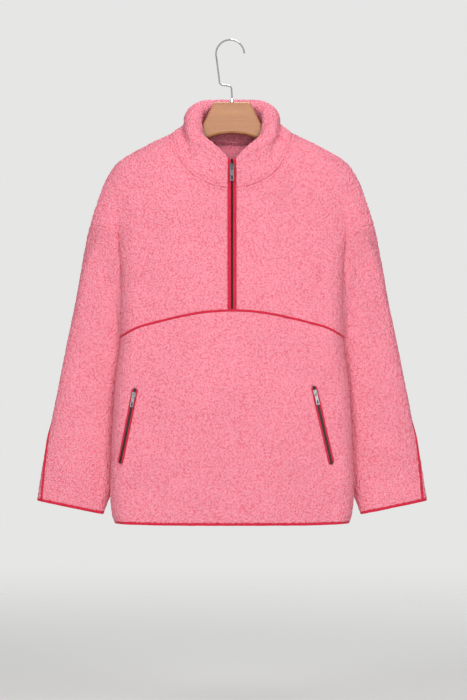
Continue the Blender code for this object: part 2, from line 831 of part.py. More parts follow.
def edge_binding(name, rows, normals, inside_rows, material):
    """Closed red edge below a ring of cloth: it caps the rim and stands a little proud of it."""
    places = []
    for point, normal, inside in zip(rows, normals, inside_rows):
        down = (point - inside).normalized()
        down = (down - normal * down.dot(normal)).normalized()
        places.append((point, down, normal))
    profile = box_profile(LAY_GAP, BINDING_HEIGHT, -WALL - 0.0009, 0.0009)
    sweep(name, places, profile, material, closed=True)


def ring_of(panels):
    """Points, normals and next points inward of edges that join into one ring."""
    points = []
    normals = []
    inside = []
    for panel, row, beside, backward in panels:
        columns = range(len(panel.grid[row]) - 1)
        if backward:
            columns = range(len(panel.grid[row]) - 1, 0, -1)
        for column in columns:
            points.append(panel.grid[row][column])
            normals.append(panel.normals[row][column])
            inside.append(panel.grid[beside][column])
    return points, normals, inside


def build_bindings(panels, red):
    ring = ring_of([(panels["lower_front"], 0, 1, False), (panels["back"], 0, 1, True)])
    edge_binding("hem_binding", *ring, red)
    for side in ("right", "left"):
        front = panels["sleeve_front_" + side]
        back = panels["sleeve_back_" + side]
        pieces = [(front, -1, -2, False), (back, -1, -2, False)]
        if side == "left":
            pieces.reverse()
        edge_binding("cuff_binding_" + side, *ring_of(pieces), red)


def build_pipings(panels, red):
    lower = panels["lower_front"]
    profile = half_round(PIPING_WIDTH, LAY_GAP, LAY_GAP + PIPING_RISE)
    seam = [point + Vector((0.0, 0.0, SEAM_GAP / 2)) for point in lower.grid[-1]]
    sweep("yoke_piping", directions(seam[1:-1], lower.normals[-1][1:-1]), profile, red)
    lift = LAY_GAP + SLEEVE_PIPING_LIFT
    raised = half_round(PIPING_WIDTH, lift, lift + PIPING_RISE)
    for side, column in (("right", 0), ("left", -1)):
        panel = panels["sleeve_front_" + side]
        seam = [row[column] for row in panel.grid]
        normals = [row[column] for row in panel.normals]
        sweep("sleeve_piping_" + side, directions(seam[1:], normals[1:]), raised, red)


def build_neck_tape(panels, tape):
    """Tape over the neck seam inside the back."""
    back = panels["back"]
    first = YOKE_COLUMNS + 1
    rows = []
    for share in (0.12, 0.85):
        row = []
        for column in range(first, first + NECK_COLUMNS - 1):
            top = back.grid[-1][column] - back.normals[-1][column] * (WALL + LAY_GAP)
            low = back.grid[-2][column] - back.normals[-2][column] * (WALL + LAY_GAP)
            row.append(top.lerp(low, share))
        rows.append(row)
    Panel("neck_tape", rows, 1, tape, free=("bottom", "top", "left", "right"), wall=0.0008).build()


# Zips

def zip_path(panels):
    """Points up the middle of the front and the collar, with their outward directions."""
    yoke = panels["yoke_front_right"]
    collar = panels["collar"]
    points = [yoke.grid[row][0] for row in range(ZIP_ROWS + 1)]
    normals = [yoke.normals[row][0] for row in range(ZIP_ROWS + 1)]
    points += [collar.grid[row][0] for row in range(1, COLLAR_OUTER_ROWS + 1)]
    normals += [collar.normals[row][0] for row in range(1, COLLAR_OUTER_ROWS + 1)]
    middle = [Vector((0.0, point.y, point.z)) for point in points]
    middle[0].z += PIPING_WIDTH / 2 + LAY_GAP
    level = [Vector((0.0, normal.y, normal.z)).normalized() for normal in normals]
    return middle, level


def build_front_zip(panels, red, dark):
    points, normals = zip_path(panels)
    places = directions(points, normals)
    inner = 0.0019
    outer = ZIP_HALF_OPENING - 0.0005
    for side, left, right in (("left", -outer, -inner), ("right", inner, outer)):
        profile = box_profile(left, right, -0.0026, 0.0005)
        sweep("zip_edge_" + side, places, profile, red)
    teeth = 0.0015
    base_low, base_high, teeth_high = -0.0040, -0.0030, -0.0006
    profile = [
        (-outer, base_low), (outer, base_low), (outer, base_high), (teeth, base_high),
        (teeth, teeth_high), (-teeth, teeth_high), (-teeth, base_high), (-outer, base_high),
    ]
    sweep("zip_tape", places, profile, dark)
    return points, normals


def pocket_path(pocket):
    points = []
    normals = []
    steps = 7
    for step in range(steps + 1):
        share = step / steps
        x = pocket.top.x + (pocket.bottom.x - pocket.top.x) * share
        z = pocket.top.z + (pocket.bottom.z - pocket.top.z) * share
        points.append(surface_point(x, z, -1))
        normals.append(surface_normal(x, z, -1))
    return points, normals


def build_pocket(pocket, red, dark):
    points, normals = pocket_path(pocket)
    places = directions(points, normals)
    half = POCKET_HALF_WIDTH
    groove = POCKET_TEETH_HALF + 0.0003
    low, floor, top = LAY_GAP + 0.0002, 0.0012, 0.0028
    profile = [
        (-half, low), (half, low), (half, top), (groove, top),
        (groove, floor), (-groove, floor), (-groove, top), (-half, top),
    ]
    sweep("pocket_binding_" + pocket.side, places, profile, red)
    teeth = box_profile(-POCKET_TEETH_HALF, POCKET_TEETH_HALF, floor + LAY_GAP, top - 0.0003)
    sweep("pocket_zip_" + pocket.side, places, teeth, dark)
    return points, normals


# Sliders and pull tabs, made along local axes: X across the zip, Y up it, Z out of the cloth

def block(mesh, low, high):
    """Box between two corners, as a closed part of a mesh."""
    corners = [
        mesh.verts.new((x, y, z))
        for z in (low[2], high[2]) for y in (low[1], high[1]) for x in (low[0], high[0])
    ]
    for face in ((0, 2, 3, 1), (4, 5, 7, 6), (0, 1, 5, 4), (2, 6, 7, 3), (0, 4, 6, 2), (1, 3, 7, 5)):
        mesh.faces.new([corners[index] for index in face])


def plate_outline(half_width, top, bottom, corner, steps=3):
    """Rounded plate seen from the front, anticlockwise."""
    points = []
    for centre_x, centre_y, start in (
        (half_width - corner, top - corner, 0.0),
        (-half_width + corner, top - corner, 90.0),
        (-half_width + corner, bottom + corner, 180.0),
        (half_width - corner, bottom + corner, 270.0),
    ):
        for step in range(steps + 1):
            angle = math.radians(start + 90.0 * step / steps)
            points.append((centre_x + corner * math.cos(angle), centre_y + corner * math.sin(angle)))
    return points


def plate_mesh(name, outline, low, high, material):
    mesh = bmesh.new()
    below = [mesh.verts.new((x, y, low)) for x, y in outline]
    above = [mesh.verts.new((x, y, high)) for x, y in outline]
    mesh.faces.new(list(reversed(below)))
    mesh.faces.new(above)
    for index in range(len(outline)):
        beside = (index + 1) % len(outline)
        mesh.faces.new([below[index], below[beside], above[beside], above[index]])
    return finish_mesh(name, mesh, material, 30.0)


def combine(item, other, operation):
    modifier = item.modifiers.new(operation.lower(), "BOOLEAN")
    modifier.operation = operation
    modifier.object = other
    other.hide_render = True
    other.display_type = "WIRE"


Slider = namedtuple("Slider", "half_width half_length low plate bar_radius tab_length tab_half")


def build_slider(name, place, size, material):
    """Slider body with a bridge over the bar that its pull tab hangs on."""
    half, length = size.half_width, size.half_length
    outline = plate_outline(half, length, -length, 0.45 * half)
    top = size.low + size.plate
    body = plate_mesh(name + "_slider", outline, size.low, top, material)
    window = size.bar_radius + 0.0003
    bar_height = top + window + 0.0001
    wall = 0.0010
    arch = bmesh.new()
    bridge_half = 0.0011
    block(arch, (-bridge_half, -window - wall, top - 0.0004), (bridge_half, window + wall, bar_height + window + wall))
    bridge = finish_mesh(name + "_bridge_guide", arch, material)
    hole = bmesh.new()
    block(hole, (-0.01, -window, bar_height - window), (0.01, window, bar_height + window))
    opening = finish_mesh(name + "_window_guide", hole, material)
    combine(body, bridge, "UNION")
    combine(body, opening, "DIFFERENCE")
    for item in (body, bridge, opening):
        item.matrix_world = place
    return bar_height


def build_tab(name, place, size, bar_height, material):
    """Pull tab: an eye round the bridge, whose upper bar is the hinge, and a long plate. It
    hangs plumb where the zip leans out over it, and against the cloth elsewhere."""
    down = place.to_3x3().inverted() @ Vector((0.0, 0.0, -1.0))
    swing = max(0.0, math.atan2(down.z, -down.y))
    radius = size.bar_radius
    outline = plate_outline(size.tab_half, radius, -size.tab_length, 0.5 * size.tab_half)
    tab = plate_mesh(name + "_pull_tab", outline, -radius, radius, material)
    eye_half = 0.0017
    eye_length = 0.0058
    eye = plate_mesh(
        name + "_eye_guide", plate_outline(eye_half, -radius, -eye_length, 0.0006),
        -0.005, 0.005, material)
    slot_top = -size.tab_length * 0.62
    slot = plate_mesh(
        name + "_slot_guide",
        plate_outline(size.tab_half * 0.42, slot_top, -size.tab_length + size.tab_half * 0.6, size.tab_half * 0.4),
        -0.005, 0.005, material)
    combine(tab, eye, "DIFFERENCE")
    combine(tab, slot, "DIFFERENCE")
    hinge = place @ Matrix.Translation((0.0, 0.0, bar_height)) @ Matrix.Rotation(-swing, 4, "X")
    for item in (tab, eye, slot):
        item.matrix_world = hinge


def place_on(points, normals, distance, down_first):
    """Frame on a zip at a distance from its upper end."""
    ordered = list(zip(points, normals))
    if not down_first:
        ordered.reverse()
    left = distance
    for (start, start_normal), (end, end_normal) in zip(ordered, ordered[1:]):
        length = (end - start).length
        if left <= length:
            share = left / length
            point = start.lerp(end, share)
            up = (start - end).normalized()
            normal = start_normal.lerp(end_normal, share)
            normal = (normal - up * normal.dot(up)).normalized()
            across = up.cross(normal)
            turn = Matrix((across, up, normal)).transposed().to_4x4()
            return Matrix.Translation(point) @ turn
        left -= length
    raise ValueError("the slider is past the end of its zip")


# Hanger

def board_outline(crest, normals):
    """Half of the wooden board seen from the front, from the middle of its top to its middle below."""
    top = [Outline(0.0, BOARD_TOP), Outline(BOARD_TOP_HALF, BOARD_TOP)] + BOARD_NECK
    for point, normal in zip(crest, normals):
        if BOARD_SEAT_START < point.x < BOARD_REACH:
            seat = point - normal * (WALL + BOARD_CLEARANCE)
            top.append(Outline(seat.x, seat.z))
    tip = top[-1]
    end = BOARD_UNDERSIDE[0]
    tip_round = [
        Outline(tip.x + 0.0010, tip.z - 0.0060),
        Outline((tip.x + end.x) / 2 + 0.0030, (tip.z + end.z) / 2),
    ]
    return top + tip_round + BOARD_UNDERSIDE


def inset(ring, distance):
    """Outline moved inward along the mean normals of its sides."""
    moved = []
    for index, point in enumerate(ring):
        before = ring[index - 1]
        after = ring[(index + 1) % len(ring)]
        first = Vector((point.x - before.x, point.z - before.z)).normalized()
        second = Vector((after.x - point.x, after.z - point.z)).normalized()
        inward = Vector((-(first.y + second.y), first.x + second.x)).normalized()
        share = max(0.5, inward.dot(Vector((-first.y, first.x))))
        moved.append(Outline(
            point.x - inward.x * distance / share, point.z - inward.y * distance / share))
    return moved


def build_board(panels, wood):
    back = panels["back"]
    first = len(back.grid[-1]) - 1 - YOKE_COLUMNS
    outline = board_outline(back.grid[-1][first:], back.normals[-1][first:])
    left = [Outline(-point.x, point.z) for point in reversed(outline[1:-1])]
    ring = outline + left
    mesh = bmesh.new()
    half = BOARD_THICKNESS / 2
    rounding = BOARD_ROUNDING
    layers = []
    for y, distance in (
        (-half, rounding), (-half + 0.3 * rounding, 0.3 * rounding), (-half + rounding, 0.0),
        (half - rounding, 0.0), (half - 0.3 * rounding, 0.3 * rounding), (half, rounding),
    ):
        layers.append([mesh.verts.new((point.x, y, point.z)) for point in inset(ring, distance)])
    mesh.faces.new(list(reversed(layers[0])))
    mesh.faces.new(layers[-1])
    for near, far in zip(layers, layers[1:]):
        for index in range(len(ring)):
            beside = (index + 1) % len(ring)
            mesh.faces.new([near[index], near[beside], far[beside], far[index]])
    bmesh.ops.recalc_face_normals(mesh, faces=mesh.faces[:])
    return finish_mesh("hanger_board", mesh, wood, 50.0)


def build_hook(chrome):
    """Wire from the ferrule, a jog to the left and the open hook over the rail."""
    start = Vector((0.0, 0.0, BOARD_TOP + FERRULE_HEIGHT + 0.0006))
    stem = [
        start,
        Vector((-0.0010, 0.0, -0.0870)),
        Vector((-0.0040, 0.0, -0.0835)),
        Vector((-0.0190, 0.0, -0.0815)),
        Vector((-0.0228, 0.0, -0.0780)),
        Vector((-0.0255, 0.0, -0.0560)),
    ]
    arc = []
    first, last, steps = 196.0, 2.0, 16
    for step in range(steps + 1):
        angle = math.radians(first + (last - first) * step / steps)
        arc.append(Vector((
            HOOK_ARC_CENTRE.x + HOOK_ARC_RADIUS * math.cos(angle), 0.0,
            HOOK_ARC_CENTRE.z + HOOK_ARC_RADIUS * math.sin(angle),
        )))
    route = stem + arc
    curve = bpy.data.curves.new("hook", "CURVE")
    curve.dimensions = "3D"
    curve.bevel_depth = WIRE_RADIUS
    curve.bevel_resolution = 2
    curve.use_fill_caps = True
    spline = curve.splines.new("POLY")
    spline.points.add(len(route) - 1)
    for knot, point in zip(spline.points, route):
        knot.co = (*point, 1.0)
    curve.materials.append(chrome)
    item = bpy.data.objects.new("hook", curve)
    bpy.context.scene.collection.objects.link(item)
    return item


def build_ferrule(chrome):
    """Turned collar where the wire enters the board."""
    mesh = bmesh.new()
    bottom = BOARD_TOP + 0.0003
    top = BOARD_TOP + FERRULE_HEIGHT
    bmesh.ops.create_cone(
        mesh, cap_ends=True, segments=16, radius1=FERRULE_RADIUS, radius2=FERRULE_RADIUS * 0.7,
        depth=top - bottom, matrix=Matrix.Translation((0.0, 0.0, (top + bottom) / 2)))
    return finish_mesh("ferrule", mesh, chrome)


def main():
    clear_scene()
    fleece = make_material("fleece", (0.91, 0.29, 0.37), 0.95)
    red = make_material("binding", (0.72, 0.02, 0.06), 0.75)
    tape = make_material("neck_tape", (0.80, 0.25, 0.33), 0.85)
    dark = make_material("zip", (0.04, 0.04, 0.045), 0.5)
    gunmetal = make_material("gunmetal", (0.20, 0.20, 0.21), 0.35, 1.0)
    silver = make_material("silver", (0.75, 0.75, 0.76), 0.25, 1.0)
    wood = make_material("beech", (0.60, 0.32, 0.17), 0.5)
    chrome = make_material("chrome", (0.80, 0.80, 0.80), 0.12, 1.0)

    panels = build_panels(fleece)
    build_bindings(panels, red)
    build_pipings(panels, red)
    build_neck_tape(panels, tape)

    front_size = Slider(0.0044, 0.0055, 0.0009, 0.0020, 0.0007, 0.0260, 0.0034)
    points, normals = build_front_zip(panels, red, dark)
    place = place_on(points, normals, 0.0085, False)
    bar = build_slider("front", place, front_size, gunmetal)
    build_tab("front", place, front_size, bar, gunmetal)

    pocket_size = Slider(0.0036, 0.0048, 0.0031, 0.0018, 0.0007, 0.0230, 0.0028)
    for pocket in POCKETS:
        points, normals = build_pocket(pocket, red, dark)
        place = place_on(points, normals, 0.0100, True)
        bar = build_slider("pocket_" + pocket.side, place, pocket_size, silver)
        build_tab("pocket_" + pocket.side, place, pocket_size, bar, silver)

    build_board(panels, wood)
    build_ferrule(chrome)
    build_hook(chrome)


main()
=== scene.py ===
"""Looks of the half-zip fleece pullover on its wooden hanger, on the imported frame.

Metres, +Z up, the front of the garment faces -Y. The form repeats part.py's tables and curves
on finer grids. Each panel is a thin shell of pile on its solid's outer surface.
"""
import math
from collections import namedtuple

import bmesh
import bpy
import numpy as np
from mathutils import Euler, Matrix, Vector, kdtree, noise


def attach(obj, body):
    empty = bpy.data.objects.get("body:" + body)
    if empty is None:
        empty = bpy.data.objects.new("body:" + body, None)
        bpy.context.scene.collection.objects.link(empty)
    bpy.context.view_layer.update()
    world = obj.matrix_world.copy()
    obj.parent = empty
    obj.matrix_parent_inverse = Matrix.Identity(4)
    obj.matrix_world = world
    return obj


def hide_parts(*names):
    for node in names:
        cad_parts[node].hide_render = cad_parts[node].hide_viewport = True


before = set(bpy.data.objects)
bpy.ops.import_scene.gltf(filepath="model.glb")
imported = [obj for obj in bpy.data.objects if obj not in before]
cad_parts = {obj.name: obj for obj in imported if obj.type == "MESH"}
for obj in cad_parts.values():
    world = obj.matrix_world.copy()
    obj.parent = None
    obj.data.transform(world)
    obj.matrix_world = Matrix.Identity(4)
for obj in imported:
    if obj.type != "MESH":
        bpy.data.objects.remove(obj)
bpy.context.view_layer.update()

# Cloth and seams
WALL = 0.0030
FOLD_RADIUS = 0.026
WIDEST = 0.2200
CREST_RADIUS = 0.030

# Points across and up the panels, four times as fine as the solids
YOKE_COLUMNS = 44
YOKE_ROWS = 60
ZIP_ROWS = 32
NECK_COLUMNS = 40
SIDE_ROWS = 40
BACK_ARMHOLE_ROWS = 48
SLEEVE_ROWS = 44
SEAM_COLUMN = 12

# Zip and trim
ZIP_HALF_OPENING = 0.0078
BINDING_HEIGHT = 0.0050
PIPING_WIDTH = 0.0042
PIPING_RISE = 0.0026
ZIP_TOP_ROWS = 12

# Body by height: half width, where the side seam lies front to back, fullness front and back,
# and how much of that fullness is lost towards the sides
Body = namedtuple("Body", "height half_width seam_y front back flattening")
BODY = [
    Body(-0.886, 0.2145, 0.000, 0.040, 0.036, 0.30),
    Body(-0.872, 0.2190, 0.000, 0.041, 0.037, 0.30),
    Body(-0.840, 0.2225, 0.000, 0.042, 0.038, 0.30),
    Body(-0.778, 0.2215, 0.000, 0.043, 0.040, 0.30),
    Body(-0.680, 0.2170, 0.000, 0.043, 0.040, 0.30),
    Body(-0.610, 0.2110, 0.000, 0.042, 0.038, 0.30),
    Body(-0.570, 0.2055, 0.003, 0.041, 0.037, 0.30),
    Body(-0.545, 0.2045, 0.008, 0.041, 0.037, 0.30),
    Body(-0.520, 0.2035, 0.000, 0.041, 0.037, 0.32),
    Body(-0.440, 0.2030, -0.004, 0.042, 0.036, 0.34),
    Body(-0.385, 0.2060, -0.008, 0.043, 0.036, 0.36),
    Body(-0.340, 0.2090, -0.012, 0.046, 0.037, 0.42),
    Body(-0.270, 0.2110, -0.012, 0.055, 0.041, 0.60),
    Body(-0.160, 0.2110, -0.012, 0.052, 0.044, 0.60),
]

# The fold between body and sleeve, in front and at the back, fades out between two heights
FRONT_FOLD = (-0.255, -0.385)
BACK_FOLD = (-0.500, -0.545)

# Outline curves of the right half, seen from the front
Outline = namedtuple("Outline", "x z")


def outline(*points):
    return [Outline(*point) for point in points]


SHOULDER = outline(
    (0.1110, -0.1720), (0.1600, -0.1960), (0.2080, -0.2245), (0.2300, -0.2560),
    (0.2470, -0.3000), (0.2600, -0.3400),
)
FRONT_NECK = outline(
    (ZIP_HALF_OPENING, -0.2725), (0.0300, -0.2690), (0.0500, -0.2615), (0.0670, -0.2520),
    (0.0840, -0.2370), (0.0960, -0.2200), (0.1045, -0.1990), (0.1110, -0.1720),
)
YOKE_SEAM = outline(
    (ZIP_HALF_OPENING, -0.4965), (0.0400, -0.4985), (0.0780, -0.5040), (0.1430, -0.5190),
    (0.1760, -0.5290), (0.2045, -0.5450),
)
FRONT_ARMHOLE = outline(
    (0.2045, -0.5450), (0.2030, -0.5000), (0.2030, -0.4400), (0.2060, -0.3850),
    (0.2140, -0.3560), (0.2280, -0.3460), (0.2450, -0.3420), (0.2600, -0.3400),
)
BACK_ARMHOLE = outline(
    (0.2045, -0.5450), (0.2130, -0.5050), (0.2250, -0.4550), (0.2390, -0.4000),
    (0.2510, -0.3620), (0.2600, -0.3400),
)
SLEEVE_OUTER = outline(
    (0.2600, -0.3400), (0.2730, -0.4040), (0.2870, -0.4780), (0.3020, -0.5510),
    (0.3310, -0.6970), (0.3460, -0.7700), (0.3575, -0.8420),
)
SLEEVE_INNER = outline(
    (0.2045, -0.5450), (0.2060, -0.5580), (0.2035, -0.5850), (0.2050, -0.6200),
    (0.2110, -0.6900), (0.2165, -0.7600), (0.2225, -0.8250), (0.2370, -0.8670),
)
VIRTUAL_CREST = Outline(0.0, -0.1250)
BACK_NECK_DROP = 0.0190
HEM_HEIGHT = -0.8860
HEM_SIDE_RISE = 0.0030
HEM_MIDDLE = 0.055

# Sleeve by share of its length: how far back it hangs, half its depth, and the turn from its
# outer edge at which the piped seam runs
Sleeve = namedtuple("Sleeve", "share y half_depth piping_turn")
SLEEVE = [
    Sleeve(0.00, 0.003, 0.024, -0.90),
    Sleeve(0.04, 0.012, 0.025, -0.86),
    Sleeve(0.10, 0.023, 0.026, -0.80),
    Sleeve(0.30, 0.032, 0.027, -0.55),
    Sleeve(0.70, 0.030, 0.025, -0.05),
    Sleeve(0.85, 0.028, 0.023, 0.30),
    Sleeve(1.00, 0.025, 0.021, 0.55),
]
SLEEVE_SQUARENESS = 2.5
SLEEVE_CROWDING = 1.35
ARMHOLE_REACH = 0.32

# Outermost line of the collar's soft roll, by share of the neck seam from the zip to the middle
# of the back, and the radius of the roll
FULL_ROLL = 0.0165
Rim = namedtuple("Rim", "share x y z roll")
COLLAR_TOP = [
    Rim(0.00, ZIP_HALF_OPENING, -0.0640, -0.2250, 0.0055),
    Rim(0.09, 0.0310, -0.0640, -0.2075, 0.0075),
    Rim(0.18, 0.0500, -0.0600, -0.1980, 0.0100),
    Rim(0.27, 0.0655, -0.0530, -0.1910, 0.0125),
    Rim(0.34, 0.0760, -0.0450, -0.1850, 0.0145),
    Rim(0.41, 0.0830, -0.0350, -0.1780, 0.0160),
    Rim(0.48, 0.0872, -0.0200, -0.1680, FULL_ROLL),
    Rim(0.58, 0.0885, 0.0040, -0.1510, FULL_ROLL),
    Rim(0.65, 0.0850, 0.0200, -0.1390, FULL_ROLL),
    Rim(0.72, 0.0760, 0.0350, -0.1290, 0.0150),
    Rim(0.80, 0.0580, 0.0440, -0.1200, 0.0125),
    Rim(0.90, 0.0310, 0.0500, -0.1165, 0.0105),
    Rim(1.00, 0.0000, 0.0520, -0.1155, 0.0095),
]
ROLL_LEAN = 0.30
COLLAR_TILT = 0.20
FACING_RISE = 0.0070
FACING_OFFSET = 0.0090
COLLAR_OUTER_ROWS = 20
COLLAR_LIP_ROWS = 16
COLLAR_INNER_ROWS = 10
COLLAR_CLOSING_ROWS = 4

# Pocket zips: top and bottom end of each, as on the photographed garment
Pocket = namedtuple("Pocket", "side top bottom")
POCKETS = [
    Pocket("left", Outline(-0.1775, -0.6410), Outline(-0.2040, -0.7750)),
    Pocket("right", Outline(0.1500, -0.6370), Outline(0.1820, -0.7760)),
]

# Smooth curves through table rows

def hermite(t, start, leave, end, arrive):
    """Cubic from start to end, with the slopes that it leaves and arrives with."""
    return (
        start * (2 * t ** 3 - 3 * t ** 2 + 1)
        + leave * (t ** 3 - 2 * t ** 2 + t)
        + end * (3 * t ** 2 - 2 * t ** 3)
        + arrive * (t ** 3 - t ** 2)
    )


def path_lengths(points):
    """Length along a line of points up to each of them."""
    lengths = [0.0]
    for start, end in zip(points, points[1:]):
        lengths.append(lengths[-1] + math.dist(start, end))
    return lengths


def read_rows(keys, rows, key):
    """Values at a key on a smooth cubic through the rows; keys rise."""
    last = len(keys) - 1
    key = min(max(key, keys[0]), keys[last])
    low = 0
    while low < last - 1 and key > keys[low + 1]:
        low += 1
    high = low + 1
    span = keys[high] - keys[low]
    t = (key - keys[low]) / span
    values = []
    for item in range(len(rows[0])):
        def slope(row):
            before = max(row - 1, 0)
            after = min(row + 1, last)
            return (rows[after][item] - rows[before][item]) / (keys[after] - keys[before])
        values.append(hermite(
            t, rows[low][item], span * slope(low), rows[high][item], span * slope(high)))
    return values


def on_curve(points, share):
    """Point at a share of the length of a smooth curve through the points."""
    lengths = path_lengths(points)
    return type(points[0])(*read_rows(lengths, points, share * lengths[-1]))


def body_at(z):
    return Body(*read_rows([row.height for row in BODY], BODY, z))


def sleeve_at(share):
    return Sleeve(*read_rows([row.share for row in SLEEVE], SLEEVE, share))


def rim_at(share):
    return Rim(*read_rows([row.share for row in COLLAR_TOP], COLLAR_TOP, share))


def fade(value, start, end):
    """0 at start, 1 at end, smooth between."""
    t = min(max((value - start) / (end - start), 0.0), 1.0)
    return t * t * (3 - 2 * t)


# Form of the hanging garment

def crest_distance(x, z):
    """Distance from a point of the front view to the shoulder line and the sleeve's outer edge."""
    nearest = 1.0
    line = [VIRTUAL_CREST] + SHOULDER_LINE + SLEEVE_OUTER[1:3]
    for start, end in zip(line, line[1:]):
        run = Vector((end.x - start.x, end.z - start.z))
        to_point = Vector((abs(x) - start.x, z - start.z))
        t = min(max(to_point.dot(run) / run.length_squared, 0.0), 1.0)
        nearest = min(nearest, (to_point - run * t).length)
    return nearest


def round_over(distance, radius):
    """Quarter ellipse: 0 at an edge, 1 a radius away from it."""
    t = min(distance / radius, 1.0)
    return math.sqrt(1.0 - (1.0 - t) ** 2)


def fold_shape(offset, strength):
    """1 in the bottom of a fold, 0 a fold radius to either side: a soft trough while it is
    shallow, two round edges that meet in a crease where it is deep."""
    soft = max(0.0, 1.0 - (offset / FOLD_RADIUS) ** 2) ** 2
    crease = 1.0 - round_over(abs(offset), FOLD_RADIUS)
    return soft + (crease - soft) * strength ** 2


def surface_y(x, z, face):
    """Outer surface of the body, in front for face -1 and behind for face +1."""
    row = body_at(z)
    fullness = row.front if face < 0 else row.back
    fullness *= 1.0 - row.flattening * (x / WIDEST) ** 2
    fullness *= round_over(crest_distance(x, z), CREST_RADIUS)
    fade_from, fade_to = FRONT_FOLD if face < 0 else BACK_FOLD
    strength = fade(z, fade_from, fade_to)
    trough = strength * fold_shape(abs(x) - row.half_width, strength)
    return face * fullness + trough * (row.seam_y - face * fullness)


def surface_point(x, z, face):
    return Vector((x, surface_y(x, z, face), z))


def surface_normal(x, z, face):
    """Outward normal of the body's surface, away from its edges."""
    step = 0.004
    by_x = surface_y(x + step, z, face) - surface_y(x - step, z, face)
    by_z = surface_y(x, z + step, face) - surface_y(x, z - step, face)
    return Vector((-by_x, 2 * step, -by_z)).normalized() * face


def edge_shares(count, end_power, start_power=1.0):
    """Shares from 0 to 1 that crowd towards 1, and towards 0 too with a start power over 1."""
    return [
        (1.0 - (1.0 - step / count) ** end_power) ** start_power
        for step in range(count + 1)
    ]


ACROSS = edge_shares(YOKE_COLUMNS, 1.7)
UP = edge_shares(YOKE_ROWS, 1.5, 1.4)
BACK_UP = edge_shares(BACK_ARMHOLE_ROWS, 2.2, 1.5)
SHOULDER_LINE = [on_curve(SHOULDER, share) for share in ACROSS]


def front_opening(row):
    """Inner edge of a front yoke: up the zip, then round the neck to the shoulder."""
    if row <= ZIP_ROWS:
        foot = YOKE_SEAM[0].z
        top = FRONT_NECK[0].z
        return Outline(ZIP_HALF_OPENING, foot + (top - foot) * UP[row] / UP[ZIP_ROWS])
    return on_curve(FRONT_NECK, (UP[row] - UP[ZIP_ROWS]) / (1.0 - UP[ZIP_ROWS]))


def back_neck(column):
    """Place of the back neck seam at a column from its left end, closer at both ends."""
    x = SHOULDER[0].x * math.sin(math.pi / 2 * (2 * column / NECK_COLUMNS - 1))
    return Outline(x, SHOULDER[0].z - BACK_NECK_DROP * (1.0 - (x / SHOULDER[0].x) ** 4))


def hem_height(x):
    return HEM_HEIGHT + HEM_SIDE_RISE * (x / BODY[0].half_width) ** 4


def half_hem(start, end):
    """Right part of the hem, from a place beside the middle to the side seam."""
    places = [start + (end - start) * share for share in ACROSS]
    return [Outline(x, hem_height(x)) for x in places]


def side_seam(share):
    z = hem_height(BODY[0].half_width) + (YOKE_SEAM[-1].z - hem_height(BODY[0].half_width)) * share
    return Outline(body_at(z).half_width, z)


def fill(bottom, top, left, right, across, up):
    """Front-view points inside four edges, each a list of points with shared corners."""
    rows = []
    for v, weight_up in enumerate(up):
        row = []
        for u, weight_across in enumerate(across):
            def mix(item):
                straight = (1 - weight_up) * bottom[u][item] + weight_up * top[u][item]
                straight += (1 - weight_across) * left[v][item] + weight_across * right[v][item]
                low = (1 - weight_across) * bottom[0][item] + weight_across * bottom[-1][item]
                high = (1 - weight_across) * top[0][item] + weight_across * top[-1][item]
                return straight - (1 - weight_up) * low - weight_up * high
            row.append(Outline(mix(0), mix(1)))
        rows.append(row)
    return rows


def raised(points, face):
    """Points of the front view on the body's surface."""
    return [surface_point(point.x, point.z, face) for point in points]


def raise_rows(rows, face):
    return [raised(row, face) for row in rows]


def mirror_rows(rows):
    """The other side of the body: x changes sign and each row runs the other way."""
    return [[Vector((-point.x, point.y, point.z)) for point in reversed(row)] for row in rows]


def mirrored(points):
    return [Outline(-point.x, point.z) for point in reversed(points)]


# Outer surfaces, one grid a panel, rows upward and columns towards +X seen from the front

def yoke_grid():
    """Right front yoke, from the zip to the armhole and from the chest seam to the shoulder."""
    bottom = [on_curve(YOKE_SEAM, share) for share in ACROSS]
    top = [on_curve(SHOULDER, share) for share in ACROSS]
    left = [front_opening(row) for row in range(YOKE_ROWS + 1)]
    right = [on_curve(FRONT_ARMHOLE, share) for share in UP]
    return raise_rows(fill(bottom, top, left, right, ACROSS, UP), -1)


def lower_front_grid():
    """Front below the chest seam, one piece from side seam to side seam."""
    half_seam = [on_curve(YOKE_SEAM, share) for share in ACROSS]
    top = mirrored(half_seam) + half_seam
    side = [side_seam(row / SIDE_ROWS) for row in range(SIDE_ROWS + 1)]
    hem = half_hem(ZIP_HALF_OPENING, side[0].x)
    bottom = mirrored(hem) + hem
    across = [(point.x + side[0].x) / (2 * side[0].x) for point in bottom]
    up = [row / SIDE_ROWS for row in range(SIDE_ROWS + 1)]
    left = [Outline(-point.x, point.z) for point in side]
    return raise_rows(fill(bottom, top, left, side, across, up), -1)


def back_grid():
    """Whole back, from hem to shoulders and back neck."""
    shoulder = [on_curve(SHOULDER, share) for share in ACROSS]
    neck = [back_neck(column) for column in range(1, NECK_COLUMNS)]
    top = mirrored(shoulder) + neck + shoulder
    side = [side_seam(row / SIDE_ROWS) for row in range(SIDE_ROWS + 1)]
    right = side + [on_curve(BACK_ARMHOLE, share) for share in BACK_UP[1:]]
    hem = half_hem(HEM_MIDDLE, side[0].x)
    places = [HEM_MIDDLE * (2 * column / NECK_COLUMNS - 1) for column in range(1, NECK_COLUMNS)]
    bottom = mirrored(hem) + [Outline(x, hem_height(x)) for x in places] + hem
    across = [(point.x + side[0].x) / (2 * side[0].x) for point in bottom]
    heights = [point.z - right[0].z for point in right]
    up = [height / heights[-1] for height in heights]
    left = [Outline(-point.x, point.z) for point in right]
    return raise_rows(fill(bottom, top, left, right, across, up), 1)


